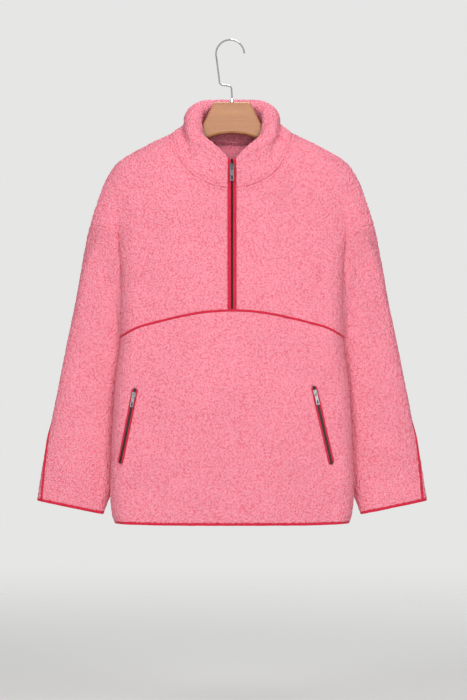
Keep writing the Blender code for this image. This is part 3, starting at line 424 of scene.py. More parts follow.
def oval(turn, half_width, half_depth):
    """Point of a flattened ring: along its width, and behind its middle."""
    power = 2.0 / SLEEVE_SQUARENESS
    across = math.cos(turn)
    behind = -math.sin(turn)
    return (
        half_width * math.copysign(abs(across) ** power, across),
        half_depth * math.copysign(abs(behind) ** power, behind),
    )


def sleeve_point(turn, share):
    """Point of the plain sleeve: turn 0 is its outer edge, half a turn its inner edge."""
    outer = on_curve(SLEEVE_OUTER, share)
    inner = on_curve(SLEEVE_INNER, share)
    row = sleeve_at(share)
    width = math.hypot(outer.x - inner.x, outer.z - inner.z)
    along, behind = oval(turn, 0.5, row.half_depth)
    return Vector((
        (outer.x + inner.x) / 2 + (outer.x - inner.x) * along,
        row.y + behind * min(1.0, width / 0.1),
        (outer.z + inner.z) / 2 + (outer.z - inner.z) * along,
    ))


def sleeve_grid():
    """Right sleeve: rows from armhole to cuff, columns from the piped seam round the front,
    the inner seam and the back, to the piped seam again."""
    front = [on_curve(FRONT_ARMHOLE, share) for share in reversed(UP)]
    back = [on_curve(BACK_ARMHOLE, share) for share in BACK_UP]
    ring = raised(back[-1 - SEAM_COLUMN:-1], 1) + raised(front, -1)
    ring += raised(back[1:len(back) - SEAM_COLUMN], 1)
    inner_column = SEAM_COLUMN + YOKE_ROWS
    lengths = path_lengths(ring)
    front_length = lengths[inner_column]
    back_length = lengths[-1] - front_length
    rows = []
    for step in range(SLEEVE_ROWS + 1):
        share = (step / SLEEVE_ROWS) ** SLEEVE_CROWDING
        held = max(0.0, 1.0 - share / ARMHOLE_REACH) ** 2
        start = sleeve_at(share).piping_turn
        points = []
        for column, place in enumerate(ring):
            if column <= inner_column:
                even = column / inner_column
                sewn = lengths[column] / front_length
                span = (start, math.pi)
            else:
                even = (column - inner_column) / (len(ring) - 1 - inner_column)
                sewn = (lengths[column] - front_length) / back_length
                span = (math.pi, 2 * math.pi + start)
            part = held * sewn + (1.0 - held) * even
            point = sleeve_point(span[0] + (span[1] - span[0]) * part, share)
            at_top = span_point(sewn, column <= inner_column)
            points.append(point + held * (place - at_top))
        points[-1] = points[0].copy()
        rows.append(points)
    return rows


def span_point(part, in_front):
    """Where the plain sleeve's first ring has the point that the armhole moves."""
    start = SLEEVE[0].piping_turn
    if in_front:
        return sleeve_point(start + (math.pi - start) * part, 0.0)
    return sleeve_point(math.pi + (math.pi + start) * part, 0.0)


def collar_foot():
    """Neck seam from the right of the zip, round the back, to the left of the zip."""
    front = [front_opening(row) for row in range(ZIP_ROWS, YOKE_ROWS + 1)]
    right = raised(front, -1)
    back = raised([back_neck(column) for column in range(NECK_COLUMNS - 1, 0, -1)], 1)
    left = [Vector((-point.x, point.y, point.z)) for point in reversed(right)]
    return right + back + left


def collar_profile(foot, along, top, roll, out):
    """Outer face, soft roll and inner facing of the collar at one place round the neck, where
    the seam runs along a direction."""
    up = Vector((0.0, -COLLAR_TILT, 1.0)).normalized()
    across = (out - up * out.dot(up)).normalized()
    rise = (top - foot).dot(up)
    arrive = (up + across * ROLL_LEAN * (roll / FULL_ROLL) ** 2).normalized() * rise
    points = []
    for step in range(COLLAR_OUTER_ROWS + 1):
        t = step / COLLAR_OUTER_ROWS
        points.append(hermite(t, foot, top - foot, top, arrive))
    centre = top - across * roll
    for step in range(1, COLLAR_LIP_ROWS + 1):
        angle = math.pi * step / COLLAR_LIP_ROWS
        points.append(centre + across * roll * math.cos(angle) + up * roll * math.sin(angle))
    lip_end = points[-1]
    face = (top - foot).normalized()
    inward = face.cross(along).normalized()
    sewn = foot + face * FACING_RISE + inward * FACING_OFFSET
    for step in range(1, COLLAR_INNER_ROWS + 1):
        points.append(lip_end.lerp(sewn, step / COLLAR_INNER_ROWS))
    return points


def collar_grid():
    """Collar: columns round the neck, rows up the outer face, over the lip and down inside."""
    foot = collar_foot()
    lengths = path_lengths(foot)
    columns = []
    for column, point in enumerate(foot):
        share = 2 * lengths[column] / lengths[-1]
        side = 1.0 if share <= 1.0 else -1.0
        rim = rim_at(share if share <= 1.0 else 2.0 - share)
        top = Vector((side * rim.x, rim.y, rim.z))
        before = foot[max(column - 1, 0)]
        after = foot[min(column + 1, len(foot) - 1)]
        out = Vector((rim.x * side, 1.4 * (rim.y + 0.012), 0.0)).normalized()
        if column in (0, len(foot) - 1):
            out = Vector((0.0, -1.0, 0.0))
        columns.append(collar_profile(point, after - before, top, rim.roll, out))
    return [list(row) for row in zip(*columns)]


# Fine surfaces as arrays

# Soft troughs and ridges: ends in the front view, half width and depth, troughs positive
Crease = namedtuple("Crease", "x z end_x end_z width depth")
FRONT_CREASES = [
    Crease(-0.150, -0.600, -0.135, -0.760, 0.022, 0.0040),
    Crease(-0.105, -0.560, -0.085, -0.700, 0.026, 0.0026),
    Crease(0.100, -0.330, 0.150, -0.460, 0.024, 0.0030),
    Crease(0.040, -0.360, 0.075, -0.470, 0.024, -0.0022),
    Crease(0.185, -0.300, 0.165, -0.480, 0.020, 0.0028),
    Crease(-0.150, -0.290, -0.165, -0.470, 0.024, 0.0026),
    Crease(-0.045, -0.380, -0.100, -0.480, 0.026, 0.0022),
    Crease(0.130, -0.560, 0.090, -0.640, 0.024, 0.0024),
    Crease(0.010, -0.560, -0.010, -0.720, 0.034, -0.0030),
    Crease(0.150, -0.790, 0.060, -0.830, 0.020, 0.0024),
    Crease(-0.130, -0.800, 0.040, -0.820, 0.022, 0.0022),
    Crease(-0.190, -0.815, -0.120, -0.845, 0.018, 0.0026),
    Crease(0.190, -0.600, 0.175, -0.700, 0.018, 0.0022),
    Crease(-0.070, -0.300, -0.060, -0.400, 0.024, -0.0018),
    Crease(0.256, -0.400, 0.262, -0.520, 0.018, 0.0026),
    Crease(0.235, -0.560, 0.275, -0.640, 0.018, 0.0024),
    Crease(0.290, -0.690, 0.300, -0.800, 0.020, -0.0022),
    Crease(0.240, -0.740, 0.262, -0.830, 0.016, 0.0024),
    Crease(-0.250, -0.400, -0.262, -0.530, 0.018, 0.0024),
    Crease(-0.240, -0.600, -0.285, -0.660, 0.018, 0.0026),
    Crease(-0.285, -0.720, -0.300, -0.820, 0.020, -0.0022),
    Crease(-0.235, -0.760, -0.255, -0.840, 0.016, 0.0022),
]
BACK_CREASES = [
    Crease(-0.120, -0.300, -0.170, -0.470, 0.026, 0.0034),
    Crease(0.115, -0.320, 0.175, -0.480, 0.026, 0.0030),
    Crease(0.020, -0.300, 0.010, -0.500, 0.034, -0.0030),
    Crease(-0.060, -0.520, -0.080, -0.700, 0.030, 0.0032),
    Crease(0.080, -0.540, 0.095, -0.730, 0.028, 0.0034),
    Crease(0.000, -0.620, -0.010, -0.800, 0.030, -0.0026),
    Crease(-0.150, -0.760, -0.060, -0.820, 0.022, 0.0026),
    Crease(0.060, -0.790, 0.160, -0.820, 0.022, 0.0024),
    Crease(0.170, -0.560, 0.185, -0.680, 0.020, 0.0024),
    Crease(-0.175, -0.560, -0.180, -0.690, 0.020, 0.0026),
    Crease(0.255, -0.420, 0.270, -0.560, 0.020, 0.0026),
    Crease(0.250, -0.620, 0.290, -0.700, 0.018, 0.0026),
    Crease(0.280, -0.740, 0.300, -0.830, 0.020, -0.0020),
    Crease(-0.255, -0.410, -0.268, -0.560, 0.020, 0.0028),
    Crease(-0.255, -0.640, -0.295, -0.690, 0.018, 0.0024),
    Crease(-0.270, -0.750, -0.285, -0.840, 0.018, 0.0022),
]

# Lower edge of the collar's roll: a shadowed step with the roll's fullness beside it
COLLAR_CREASES = [
    Crease(-0.0895, -0.150, -0.0872, -0.190, 0.0060, 0.0028),
    Crease(-0.0872, -0.180, -0.0745, -0.228, 0.0060, 0.0024),
    Crease(-0.0785, -0.150, -0.0765, -0.188, 0.0085, -0.0018),
    Crease(-0.0765, -0.180, -0.0630, -0.222, 0.0085, -0.0016),
    Crease(0.0870, -0.146, 0.0860, -0.184, 0.0060, 0.0026),
    Crease(0.0860, -0.174, 0.0700, -0.222, 0.0060, 0.0022),
    Crease(0.0765, -0.150, 0.0755, -0.180, 0.0085, -0.0018),
    Crease(0.0755, -0.174, 0.0590, -0.214, 0.0085, -0.0016),
]

# Creases wind a little: how far beside their line, as a share of their width, how often along
# them, and how their starts differ; then where they fade in, and out at the other end alike
CREASE_WINDING = 0.25
CREASE_TURNS = 5.0
CREASE_SHIFT = 40.0
CREASE_FADE = (-0.25, 0.3)

# Nubs of the pile: their sizes, how far they stand out, the turn of their pattern against the
# axes, the range of the noise that goes from gap to top, and how strong its parts are
NUB_SIZE = 0.0038
CURL_SIZE = 0.0026
BEND_SIZE = 1.0 / 230
PILE_RISE = 0.0020
PILE_TURN = Euler((0.5, 0.9, 0.3)).to_matrix()
PILE_RANGE = (-0.85, 0.45)
PILE_BEND = 0.5
BEND_LIFT = 0.20
CURL_LIFT = 0.30

# Seams: how deep and how wide the pile dips, where the topstitching runs, how far the rims turn
# in, how near the borders of two panels lie together, and how far a line's distance is measured
SEAM_DIP = 0.0009
SEAM_REACH = 0.0035
TOPSTITCH = 0.0058
STITCH_DIP = 0.0009
STITCH_WIDTH = 0.0011
RIM_DEPTH = 0.0026
SEW_REACH = 0.0030
LINE_REACH = 0.02


def as_array(grid):
    return np.array([[tuple(point) for point in row] for row in grid])


def between_rows(grid, factor):
    """Points on smooth curves through the rows of a grid, factor to a step."""
    first = 2 * grid[:1] - grid[1:2]
    last = 2 * grid[-1:] - grid[-2:-1]
    padded = np.concatenate([first, grid, last])
    p0, p1, p2, p3 = padded[:-3], padded[1:-2], padded[2:-1], padded[3:]
    steps = []
    for step in range(factor):
        t = step / factor
        steps.append(
            p1 + 0.5 * t * (p2 - p0 + t * (2 * p0 - 5 * p1 + 4 * p2 - p3)
                            + t * t * (3 * p1 - p0 - 3 * p2 + p3)))
    fine = np.stack(steps, axis=1).reshape(-1, *grid.shape[1:])
    return np.concatenate([fine, grid[-1:]])


def refine(grid, up, across):
    fine = between_rows(grid, up)
    return between_rows(fine.transpose(1, 0, 2), across).transpose(1, 0, 2)


def unit(vectors):
    lengths = np.linalg.norm(vectors, axis=-1, keepdims=True)
    return vectors / np.maximum(lengths, 1e-12)


def normals_of(grid):
    return unit(np.cross(np.gradient(grid, axis=1), np.gradient(grid, axis=0)))


def edge_distance(grid, sides):
    """Distance along the cloth from the named sides of a grid."""
    nearest = np.full(grid.shape[:2], 1.0)
    for side in sides:
        axis = 1 if side in ("left", "right") else 0
        order = -1 if side in ("right", "top") else 1
        lines = np.moveaxis(grid, axis, 0)[::order]
        steps = np.linalg.norm(np.diff(lines, axis=0), axis=2)
        run = np.concatenate([np.zeros((1, lines.shape[1])), np.cumsum(steps, axis=0)])
        nearest = np.minimum(nearest, np.moveaxis(run[::order], 0, axis))
    return nearest


def smooth_step(values, start, end):
    t = np.clip((values - start) / (end - start), 0.0, 1.0)
    return t * t * (3 - 2 * t)


def crease_depth(grid, creases):
    """How far each point of a grid is pressed in, along slightly winding lines."""
    x, z = grid[..., 0], grid[..., 2]
    depth = np.zeros(x.shape)
    for crease in creases:
        run_x, run_z = crease.end_x - crease.x, crease.end_z - crease.z
        length = math.hypot(run_x, run_z)
        along = ((x - crease.x) * run_x + (z - crease.z) * run_z) / length ** 2
        beside = ((x - crease.x) * run_z - (z - crease.z) * run_x) / length
        winding = np.sin(CREASE_TURNS * along + CREASE_SHIFT * crease.x)
        beside = beside + CREASE_WINDING * crease.width * winding
        taper = smooth_step(along, *CREASE_FADE) * smooth_step(1.0 - along, *CREASE_FADE)
        depth += crease.depth * taper * np.exp(-(beside / crease.width) ** 2)
    return depth


def pile_height(points):
    """Curled nubs: 0 in the gaps between them and 1 on their tops."""
    heights = np.empty(len(points))
    turned = points @ np.array(PILE_TURN).T
    for index, (x, y, z) in enumerate(turned.tolist()):
        bend = PILE_BEND * noise.noise(Vector((x, y, z)) / BEND_SIZE)
        cell = Vector((x / NUB_SIZE + bend, y / NUB_SIZE - bend, z / NUB_SIZE + 0.6 * bend))
        curl = Vector((x, y, z)) / CURL_SIZE
        heights[index] = (
            -noise.noise(cell, noise_basis="VORONOI_F1") + CURL_LIFT * noise.noise(curl)
            + BEND_LIFT * bend)
    low, high = PILE_RANGE
    return np.clip((heights - low) / (high - low), 0.0, 1.0)


def grid_mesh(name, grid, material, wrap_rows=False, wrap_columns=False, shade=None):
    """Mesh of a grid of points; shade is a value a point, kept for the material."""
    rows, columns = grid.shape[:2]
    index = np.arange(rows * columns).reshape(rows, columns)
    if wrap_rows:
        index = np.vstack([index, index[:1]])
    if wrap_columns:
        index = np.hstack([index, index[:, :1]])
    quads = np.stack(
        [index[:-1, :-1], index[:-1, 1:], index[1:, 1:], index[1:, :-1]], axis=-1).reshape(-1, 4)
    data = bpy.data.meshes.new(name)
    data.vertices.add(rows * columns)
    data.vertices.foreach_set("co", grid.reshape(-1))
    data.loops.add(quads.size)
    data.loops.foreach_set("vertex_index", quads.reshape(-1))
    data.polygons.add(len(quads))
    data.polygons.foreach_set("loop_start", np.arange(0, quads.size, 4))
    data.update(calc_edges=True)
    data.shade_smooth()
    if shade is not None:
        layer = data.attributes.new("pile", "FLOAT", "POINT")
        layer.data.foreach_set("value", shade.reshape(-1))
    data.materials.append(material)
    return link(name, data)


def link(name, data):
    item = bpy.data.objects.new(name, data)
    bpy.context.scene.collection.objects.link(item)
    return item


def solids_mesh(name, corners, faces, material):
    """Many copies of one solid as a joined mesh; corners is an array of copies by points."""
    copies, count = corners.shape[:2]
    polygons = []
    for copy in range(copies):
        polygons += [[corner + copy * count for corner in face] for face in faces]
    data = bpy.data.meshes.new(name)
    data.from_pydata(corners.reshape(-1, 3).tolist(), [], polygons)
    data.materials.append(material)
    return link(name, data)


def lengths_along(points):
    steps = np.linalg.norm(np.diff(points, axis=0), axis=1)
    return np.concatenate([[0.0], np.cumsum(steps)])


def evened(points, normals, step):
    """Points and normals a step apart along a path."""
    lengths = lengths_along(points)
    count = max(2, int(round(lengths[-1] / step)) + 1)
    places = np.linspace(0.0, lengths[-1], count)
    even = np.stack([np.interp(places, lengths, points[:, axis]) for axis in range(3)], axis=1)
    out = np.stack([np.interp(places, lengths, normals[:, axis]) for axis in range(3)], axis=1)
    return even, unit(out), places


def sideways_of(points, normals):
    return unit(np.cross(unit(np.gradient(points, axis=0)), normals))


def strip(name, points, sideways, outward, profile, material, closed=False):
    """A profile carried along places; profile is an array of (sideways, outward) points, or one
    such array a place."""
    if profile.ndim == 2:
        profile = np.repeat(profile[None], len(points), axis=0)
    rings = (points[:, None] + sideways[:, None] * profile[..., :1]
             + outward[:, None] * profile[..., 1:])
    item = grid_mesh(name, rings, material, wrap_rows=closed, wrap_columns=True)
    mesh = bmesh.new()
    mesh.from_mesh(item.data)
    if not closed:
        mesh.verts.ensure_lookup_table()
        count = rings.shape[1]
        mesh.faces.new([mesh.verts[index] for index in range(count)])
        total = len(mesh.verts)
        mesh.faces.new([mesh.verts[total - 1 - index] for index in range(count)])
    bmesh.ops.recalc_face_normals(mesh, faces=mesh.faces[:])
    mesh.to_mesh(item.data)
    mesh.free()
    item.data.shade_smooth()
    return item


def rounded_profile(left, right, low, high, power=4.0, count=16):
    """Rounded box as a profile."""
    points = []
    for step in range(count):
        angle = 2 * math.pi * (step + 0.5) / count
        across, up = math.cos(angle), math.sin(angle)
        points.append((
            (left + right) / 2
            + (right - left) / 2 * math.copysign(abs(across) ** (2 / power), across),
            (low + high) / 2 + (high - low) / 2 * math.copysign(abs(up) ** (2 / power), up),
        ))
    return np.array(points)


def uneven(places, seed, period):
    """Slow random waves along a path, about -1 to 1."""
    return np.array([
        noise.noise(Vector((place / period, seed, 0.3)))
        + 0.5 * noise.noise(Vector((place / period * 2.7, seed + 9.0, 0.7)))
        for place in places
    ])


# Materials

def set_inputs(tree, node, inputs):
    """Numbers and colours for a node's inputs, or the sockets that they take them from."""
    for key, value in inputs.items():
        if isinstance(value, bpy.types.NodeSocket):
            tree.links.new(value, node.inputs[key])
        else:
            node.inputs[key].default_value = value


def new_material(name, colour, roughness, metallic=0.0):
    material = bpy.data.materials.new(name)
    material.use_nodes = True
    tree = material.node_tree
    shader = tree.nodes["Principled BSDF"]
    set_inputs(tree, shader, {
        "Base Color": (*colour, 1.0), "Roughness": roughness, "Metallic": metallic})
    return material, tree, shader


def add(tree, kind, inputs, **settings):
    node = tree.nodes.new(kind)
    for key, value in settings.items():
        setattr(node, key, value)
    set_inputs(tree, node, inputs)
    return node


def place_coordinates(tree, scale):
    """Coordinates on the object, stretched by a scale on each axis."""
    source = add(tree, "ShaderNodeTexCoord", {})
    return add(tree, "ShaderNodeMapping", {
        "Vector": source.outputs["Object"], "Scale": scale}).outputs["Vector"]


def noise_on(tree, vector, scale, detail, rough):
    return add(tree, "ShaderNodeTexNoise", {
        "Vector": vector, "Scale": scale, "Detail": detail, "Roughness": rough}).outputs["Fac"]


def ramp(tree, factor, stops):
    node = add(tree, "ShaderNodeValToRGB", {"Fac": factor})
    elements = node.color_ramp.elements
    while len(elements) < len(stops):
        elements.new(0.5)
    for element, (position, colour) in zip(elements, stops):
        element.position = position
        element.color = (*colour, 1.0)
    return node.outputs["Color"]


def mix_colours(tree, factor, first, second, blend="MIX"):
    node = add(tree, "ShaderNodeMix", {0: factor}, data_type="RGBA", blend_type=blend)
    inputs = [socket for socket in node.inputs if socket.type == "RGBA"]
    for socket, value in zip(inputs, (first, second)):
        tree.links.new(value, socket)
    return [socket for socket in node.outputs if socket.type == "RGBA"][0]


def calculate(tree, operation, first, second):
    return add(tree, "ShaderNodeMath", {0: first, 1: second}, operation=operation).outputs[0]


def weighted(tree, first, first_weight, second, second_weight):
    """Sum of two sockets, each times a number."""
    return calculate(
        tree, "ADD", calculate(tree, "MULTIPLY", first, first_weight),
        calculate(tree, "MULTIPLY", second, second_weight))


def add_bump(tree, shader, height, distance, strength):
    bump = add(tree, "ShaderNodeBump", {
        "Height": height, "Distance": distance, "Strength": strength})
    tree.links.new(bump.outputs["Normal"], shader.inputs["Normal"])


# Fleece colours: the gap colour is painted shade between the nubs and the top colour a painted
# highlight on their tips; the middle, reverse and patch colours are the cloth's own tone
FLEECE_GAP_SHADE = (0.74, 0.125, 0.185)
FLEECE_MIDDLE = (0.86, 0.250, 0.325)
FLEECE_TOP_HIGHLIGHT = (0.93, 0.350, 0.435)
FLEECE_REVERSE = (0.80, 0.235, 0.310)
FLEECE_PATCH = (0.955, 0.94, 0.95)
SHADED_NUB = 0.0031
NUB_BEND = 0.0034
BEND_FINENESS = 260.0
CURL_FINENESS = 760.0
PATCH_FINENESS = 14.0
RED = (0.66, 0.010, 0.050)
WHITE = (1.0, 1.0, 1.0)


def fleece_material(name, gap, middle, top):
    """Curled pile: painted shade makes it deeper pink between the nubs and a painted highlight
    makes it paler on their tips, with a soft sheen.
    """
    material, tree, shader = new_material(name, middle, 0.95)
    vector = place_coordinates(tree, (1.0, 1.0, 1.0))
    pile = add(tree, "ShaderNodeAttribute", {}, attribute_name="pile").outputs["Fac"]
    curls = noise_on(tree, vector, CURL_FINENESS, 3.0, 0.6)
    patches = noise_on(tree, vector, PATCH_FINENESS, 2.0, 0.5)
    bend = add(tree, "ShaderNodeTexNoise", {
        "Vector": vector, "Scale": BEND_FINENESS, "Detail": 1.0}).outputs["Color"]
    bent = add(tree, "ShaderNodeVectorMath", {
        0: bend, 1: (NUB_BEND, NUB_BEND, NUB_BEND), 2: vector}, operation="MULTIPLY_ADD")
    nubs = add(tree, "ShaderNodeTexVoronoi", {
        "Vector": bent.outputs["Vector"], "Scale": 1.0 / SHADED_NUB, "Smoothness": 0.35},
        feature="SMOOTH_F1")
    round_nubs = add(tree, "ShaderNodeMapRange", {
        "Value": nubs.outputs["Distance"], "From Min": 0.75, "From Max": 0.10})
    height = weighted(tree, round_nubs.outputs["Result"], 0.72, curls, 0.40)
    shade = weighted(tree, height, 0.68, pile, 0.13)
    # Painted shade in the gaps between the nubs and a painted highlight on their tips, set by the
    # nubs' height and the pile attribute
    colour = ramp(tree, shade, [(0.10, gap), (0.34, middle), (0.66, top)])
    tint = ramp(tree, patches, [(0.3, FLEECE_PATCH), (0.7, WHITE)])
    set_inputs(tree, shader, {
        "Base Color": mix_colours(tree, 1.0, colour, tint, "MULTIPLY"),
        "Sheen Weight": 0.04, "Sheen Roughness": 0.55, "Sheen Tint": (1.0, 0.60, 0.68, 1.0),
        "Specular IOR Level": 0.10})
    add_bump(tree, shader, height, 0.0020, 1.0)
    return material


def woven_material(name, colour, dark, rib=1900.0):
    """Twill tape: fine ribs across each other with a slightly uneven dye."""
    material, tree, shader = new_material(name, colour, 0.8)
    vector = place_coordinates(tree, (1.0, 1.0, 1.0))
    ribs = [
        add(tree, "ShaderNodeTexWave", {"Vector": vector, "Scale": rib / 6.28, "Distortion": 1.2},
            bands_direction=direction).outputs["Fac"]
        for direction in ("X", "Z")
    ]
    weave = calculate(tree, "MULTIPLY", *ribs)
    shade = weighted(tree, weave, 0.35, noise_on(tree, vector, 160.0, 3.0, 0.6), 0.75)
    set_inputs(tree, shader, {
        "Base Color": ramp(tree, shade, [(0.18, dark), (0.62, colour)]),
        "Sheen Weight": 0.15, "Specular IOR Level": 0.25})
    add_bump(tree, shader, shade, 0.0006, 0.8)
    return material


def metal_material(name, colour, roughness, wear):
    """Plated metal with fine scratches and a cloudy polish."""
    material, tree, shader = new_material(name, colour, roughness, 1.0)
    vector = place_coordinates(tree, (1.0, 1.0, 0.25))
    cloud = noise_on(tree, vector, 300.0, 4.0, 0.6)
    spread = add(tree, "ShaderNodeMapRange", {
        "Value": cloud, "To Min": roughness * 0.7, "To Max": roughness * 1.5})
    set_inputs(tree, shader, {
        "Base Color": ramp(tree, cloud, [(0.3, wear), (0.6, colour)]),
        "Roughness": spread.outputs["Result"]})
    add_bump(tree, shader, noise_on(tree, vector, 1400.0, 2.0, 0.5), 0.00006, 0.5)
    return material


def wood_material():
    """Beech: fine level grain with short darker flecks under a satin lacquer."""
    material, tree, shader = new_material("beech_satin", (0.60, 0.32, 0.17), 0.42)
    grain = noise_on(tree, place_coordinates(tree, (9.0, 60.0, 190.0)), 1.0, 6.0, 0.62)
    broad = noise_on(tree, place_coordinates(tree, (5.0, 20.0, 42.0)), 1.0, 2.0, 0.5)
    flecks = noise_on(tree, place_coordinates(tree, (110.0, 300.0, 900.0)), 1.0, 2.0, 0.7)
    shade = weighted(tree, grain, 0.55, broad, 0.45)
    colour = ramp(tree, shade, [
        (0.25, (0.325, 0.130, 0.042)), (0.50, (0.385, 0.162, 0.056)),
        (0.75, (0.440, 0.194, 0.072))])
    fleck = ramp(tree, flecks, [(0.33, (0.76, 0.68, 0.60)), (0.43, WHITE)])
    flecked = mix_colours(tree, 1.0, colour, fleck, "MULTIPLY")
    set_inputs(tree, shader, {
        "Base Color": mix_colours(tree, 0.7, colour, flecked),
        "Coat Weight": 0.25, "Coat Roughness": 0.35})
    add_bump(tree, shader, shade, 0.0005, 0.35)
    return material


# Panels of pile

# Flat width, length and area of a panel's cut, measured along its modelled surface
Cut = namedtuple("Cut", "width length area")
Recipe = namedtuple("Recipe", "name cut coarse up across creases sewn")
Panel = namedtuple("Panel", "item inside fine normals cut")

POCKET_PRESS = 0.0042

# Shares of the pile's height and of its painted nub shade that stay at a seam, the shade added
# there, and the shares of both that a row of stitches takes away; the darker groove of a row of
# stitches is painted shade
SEAM_HEIGHT = 0.35
SEAM_SHADE = 0.55
SEAM_TINT = 0.12
STITCH_PRESS = 0.6
STITCH_PAINTED_SHADE = 0.75


def with_rims(grid, normals, depth):
    """The border turned in behind a grid, so its edges have the cloth's thickness."""
    padded = np.pad(grid - normals * depth, ((1, 1), (1, 1), (0, 0)), mode="edge")
    padded[1:-1, 1:-1] = grid
    return padded


def creased(coarse, up, across, creases):
    """Fine grid of a panel with its creases pressed in, and its normals."""
    fine = refine(as_array(coarse), up, across)
    fine = fine - normals_of(fine) * crease_depth(fine, creases)[..., None]
    return fine, normals_of(fine)


def border_mask(shape):
    mask = np.ones(shape, bool)
    mask[1:-1, 1:-1] = False
    return mask


def sew_normals(surfaces):
    """Borders of different panels that lie together take their mean normal, so that the pile
    closes over the seams."""
    masks = [border_mask(grid.shape[:2]) for grid, _ in surfaces]
    places = np.concatenate([grid[mask] for (grid, _), mask in zip(surfaces, masks)])
    normals = np.concatenate([out[mask] for (_, out), mask in zip(surfaces, masks)])
    owners = np.repeat(np.arange(len(masks)), [mask.sum() for mask in masks])
    tree = kdtree.KDTree(len(places))
    for index, place in enumerate(places):
        tree.insert(place, index)
    tree.balance()
    mean = np.empty(normals.shape)
    for index, place in enumerate(places):
        best = {}
        for _, other, gap in tree.find_range(place, SEW_REACH):
            owner = owners[other]
            if owner not in best or gap < best[owner][0]:
                best[owner] = (gap, other)
        mean[index] = sum(normals[other] for _, other in best.values())
    mean = unit(mean)
    start = 0
    for (_, out), mask in zip(surfaces, masks):
        out[mask] = mean[start:start + mask.sum()]
        start += mask.sum()


def line_distance(grid, line):
    """Distance of each point of a grid from a line of points, where it is short."""
    low, high = line.min(axis=0) - LINE_REACH, line.max(axis=0) + LINE_REACH
    inside = np.all((grid > low) & (grid < high), axis=-1)
    nearest = np.full(grid.shape[:2], 1.0)
    points = grid[inside]
    best = np.full(len(points), 1.0)
    for start, end in zip(line, line[1:]):
        run = end - start
        along = np.clip((points - start) @ run / max(run @ run, 1e-12), 0.0, 1.0)
        gap = np.linalg.norm(points - start - along[:, None] * run, axis=1)
        best = np.minimum(best, gap)
    nearest[inside] = best
    return nearest


def pile_panel(name, fine, normals, material, sewn, dips=()):
    """Thin shell of pile on a panel, whose nub height goes to the material as painted shade; dips
    are (points of a line, distance from it, half width) pressed in and darkened with painted shade."""
    distance = edge_distance(fine, sewn)
    pile = pile_height(fine.reshape(-1, 3)).reshape(fine.shape[:2])
    low = smooth_step(distance, 0.0, SEAM_REACH)
    rise = pile * PILE_RISE * (SEAM_HEIGHT + (1.0 - SEAM_HEIGHT) * low)
    rise = rise - SEAM_DIP * (1.0 - low) ** 1.5
    # Value for the material's painted shade between the nubs and painted highlight on their tops,
    # with less range near seams
    shade = pile * (SEAM_SHADE + (1.0 - SEAM_SHADE) * low) + SEAM_TINT * (1.0 - low)
    for line, gap, width in dips:
        near = np.abs(line_distance(fine, line) - gap)
        groove = np.exp(-(near / width) ** 2)
        rise = rise - groove * (STITCH_DIP + STITCH_PRESS * rise)
        # Painted shade darkens each pressed groove
        shade = shade * (1.0 - STITCH_PAINTED_SHADE * groove)
    surface = fine + normals * rise[..., None]
    return grid_mesh(name, with_rims(surface, normals, RIM_DEPTH), material,
                     shade=np.pad(shade, 1, mode="edge"))


def reverse_side(name, coarse, material):
    """Knitted reverse of a panel, seen inside the neck, cuffs and hem."""
    grid = as_array(coarse)
    inner = grid - normals_of(grid) * WALL
    return grid_mesh(name, inner[:, ::-1], material)


def hang(item, node=None):
    """Let a piece ride the garment, in place of a solid if one is named."""
    if node:
        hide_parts(node)
    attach(item, "garment")


def closed_collar():
    """Collar of pile outside and inside, closed behind the neck seam."""
    coarse = as_array(collar_grid())
    inner_foot = coarse[0] - normals_of(coarse)[0] * WALL
    closing = [
        coarse[-1] + (inner_foot - coarse[-1]) * step / COLLAR_CLOSING_ROWS
        for step in range(1, COLLAR_CLOSING_ROWS + 1)
    ]
    return np.concatenate([coarse, np.array(closing)])


def cloth_recipes(back):
    """Every panel but the collar, with how often its grid is refined and which sides are sewn."""
    yoke = yoke_grid()
    sleeve = sleeve_grid()
    inner_column = SEAM_COLUMN + YOKE_ROWS
    sleeve_front = [row[:inner_column + 1] for row in sleeve]
    sleeve_back = [row[inner_column:] for row in sleeve]
    sides = ("left", "right", "bottom")
    front_sides = ("left", "right", "top")
    recipes = [
        Recipe("lower_front", "lower_front", lower_front_grid(), 4, 3, FRONT_CREASES, front_sides),
        Recipe("back", "back", back, 3, 2, BACK_CREASES, ("left", "right")),
        Recipe("yoke_front_right", "yoke_front", yoke, 3, 3, FRONT_CREASES, sides),
        Recipe("yoke_front_left", "yoke_front", mirror_rows(yoke), 3, 3, FRONT_CREASES, sides),
    ]
    for side in ("right", "left"):
        for cut, rows, creases in (
            ("sleeve_front", sleeve_front, FRONT_CREASES),
            ("sleeve_back", sleeve_back, BACK_CREASES),
        ):
            coarse = rows if side == "right" else mirror_rows(rows)
            recipes.append(Recipe(cut + "_" + side, cut, coarse, 5, 2, creases, sides))
    return recipes


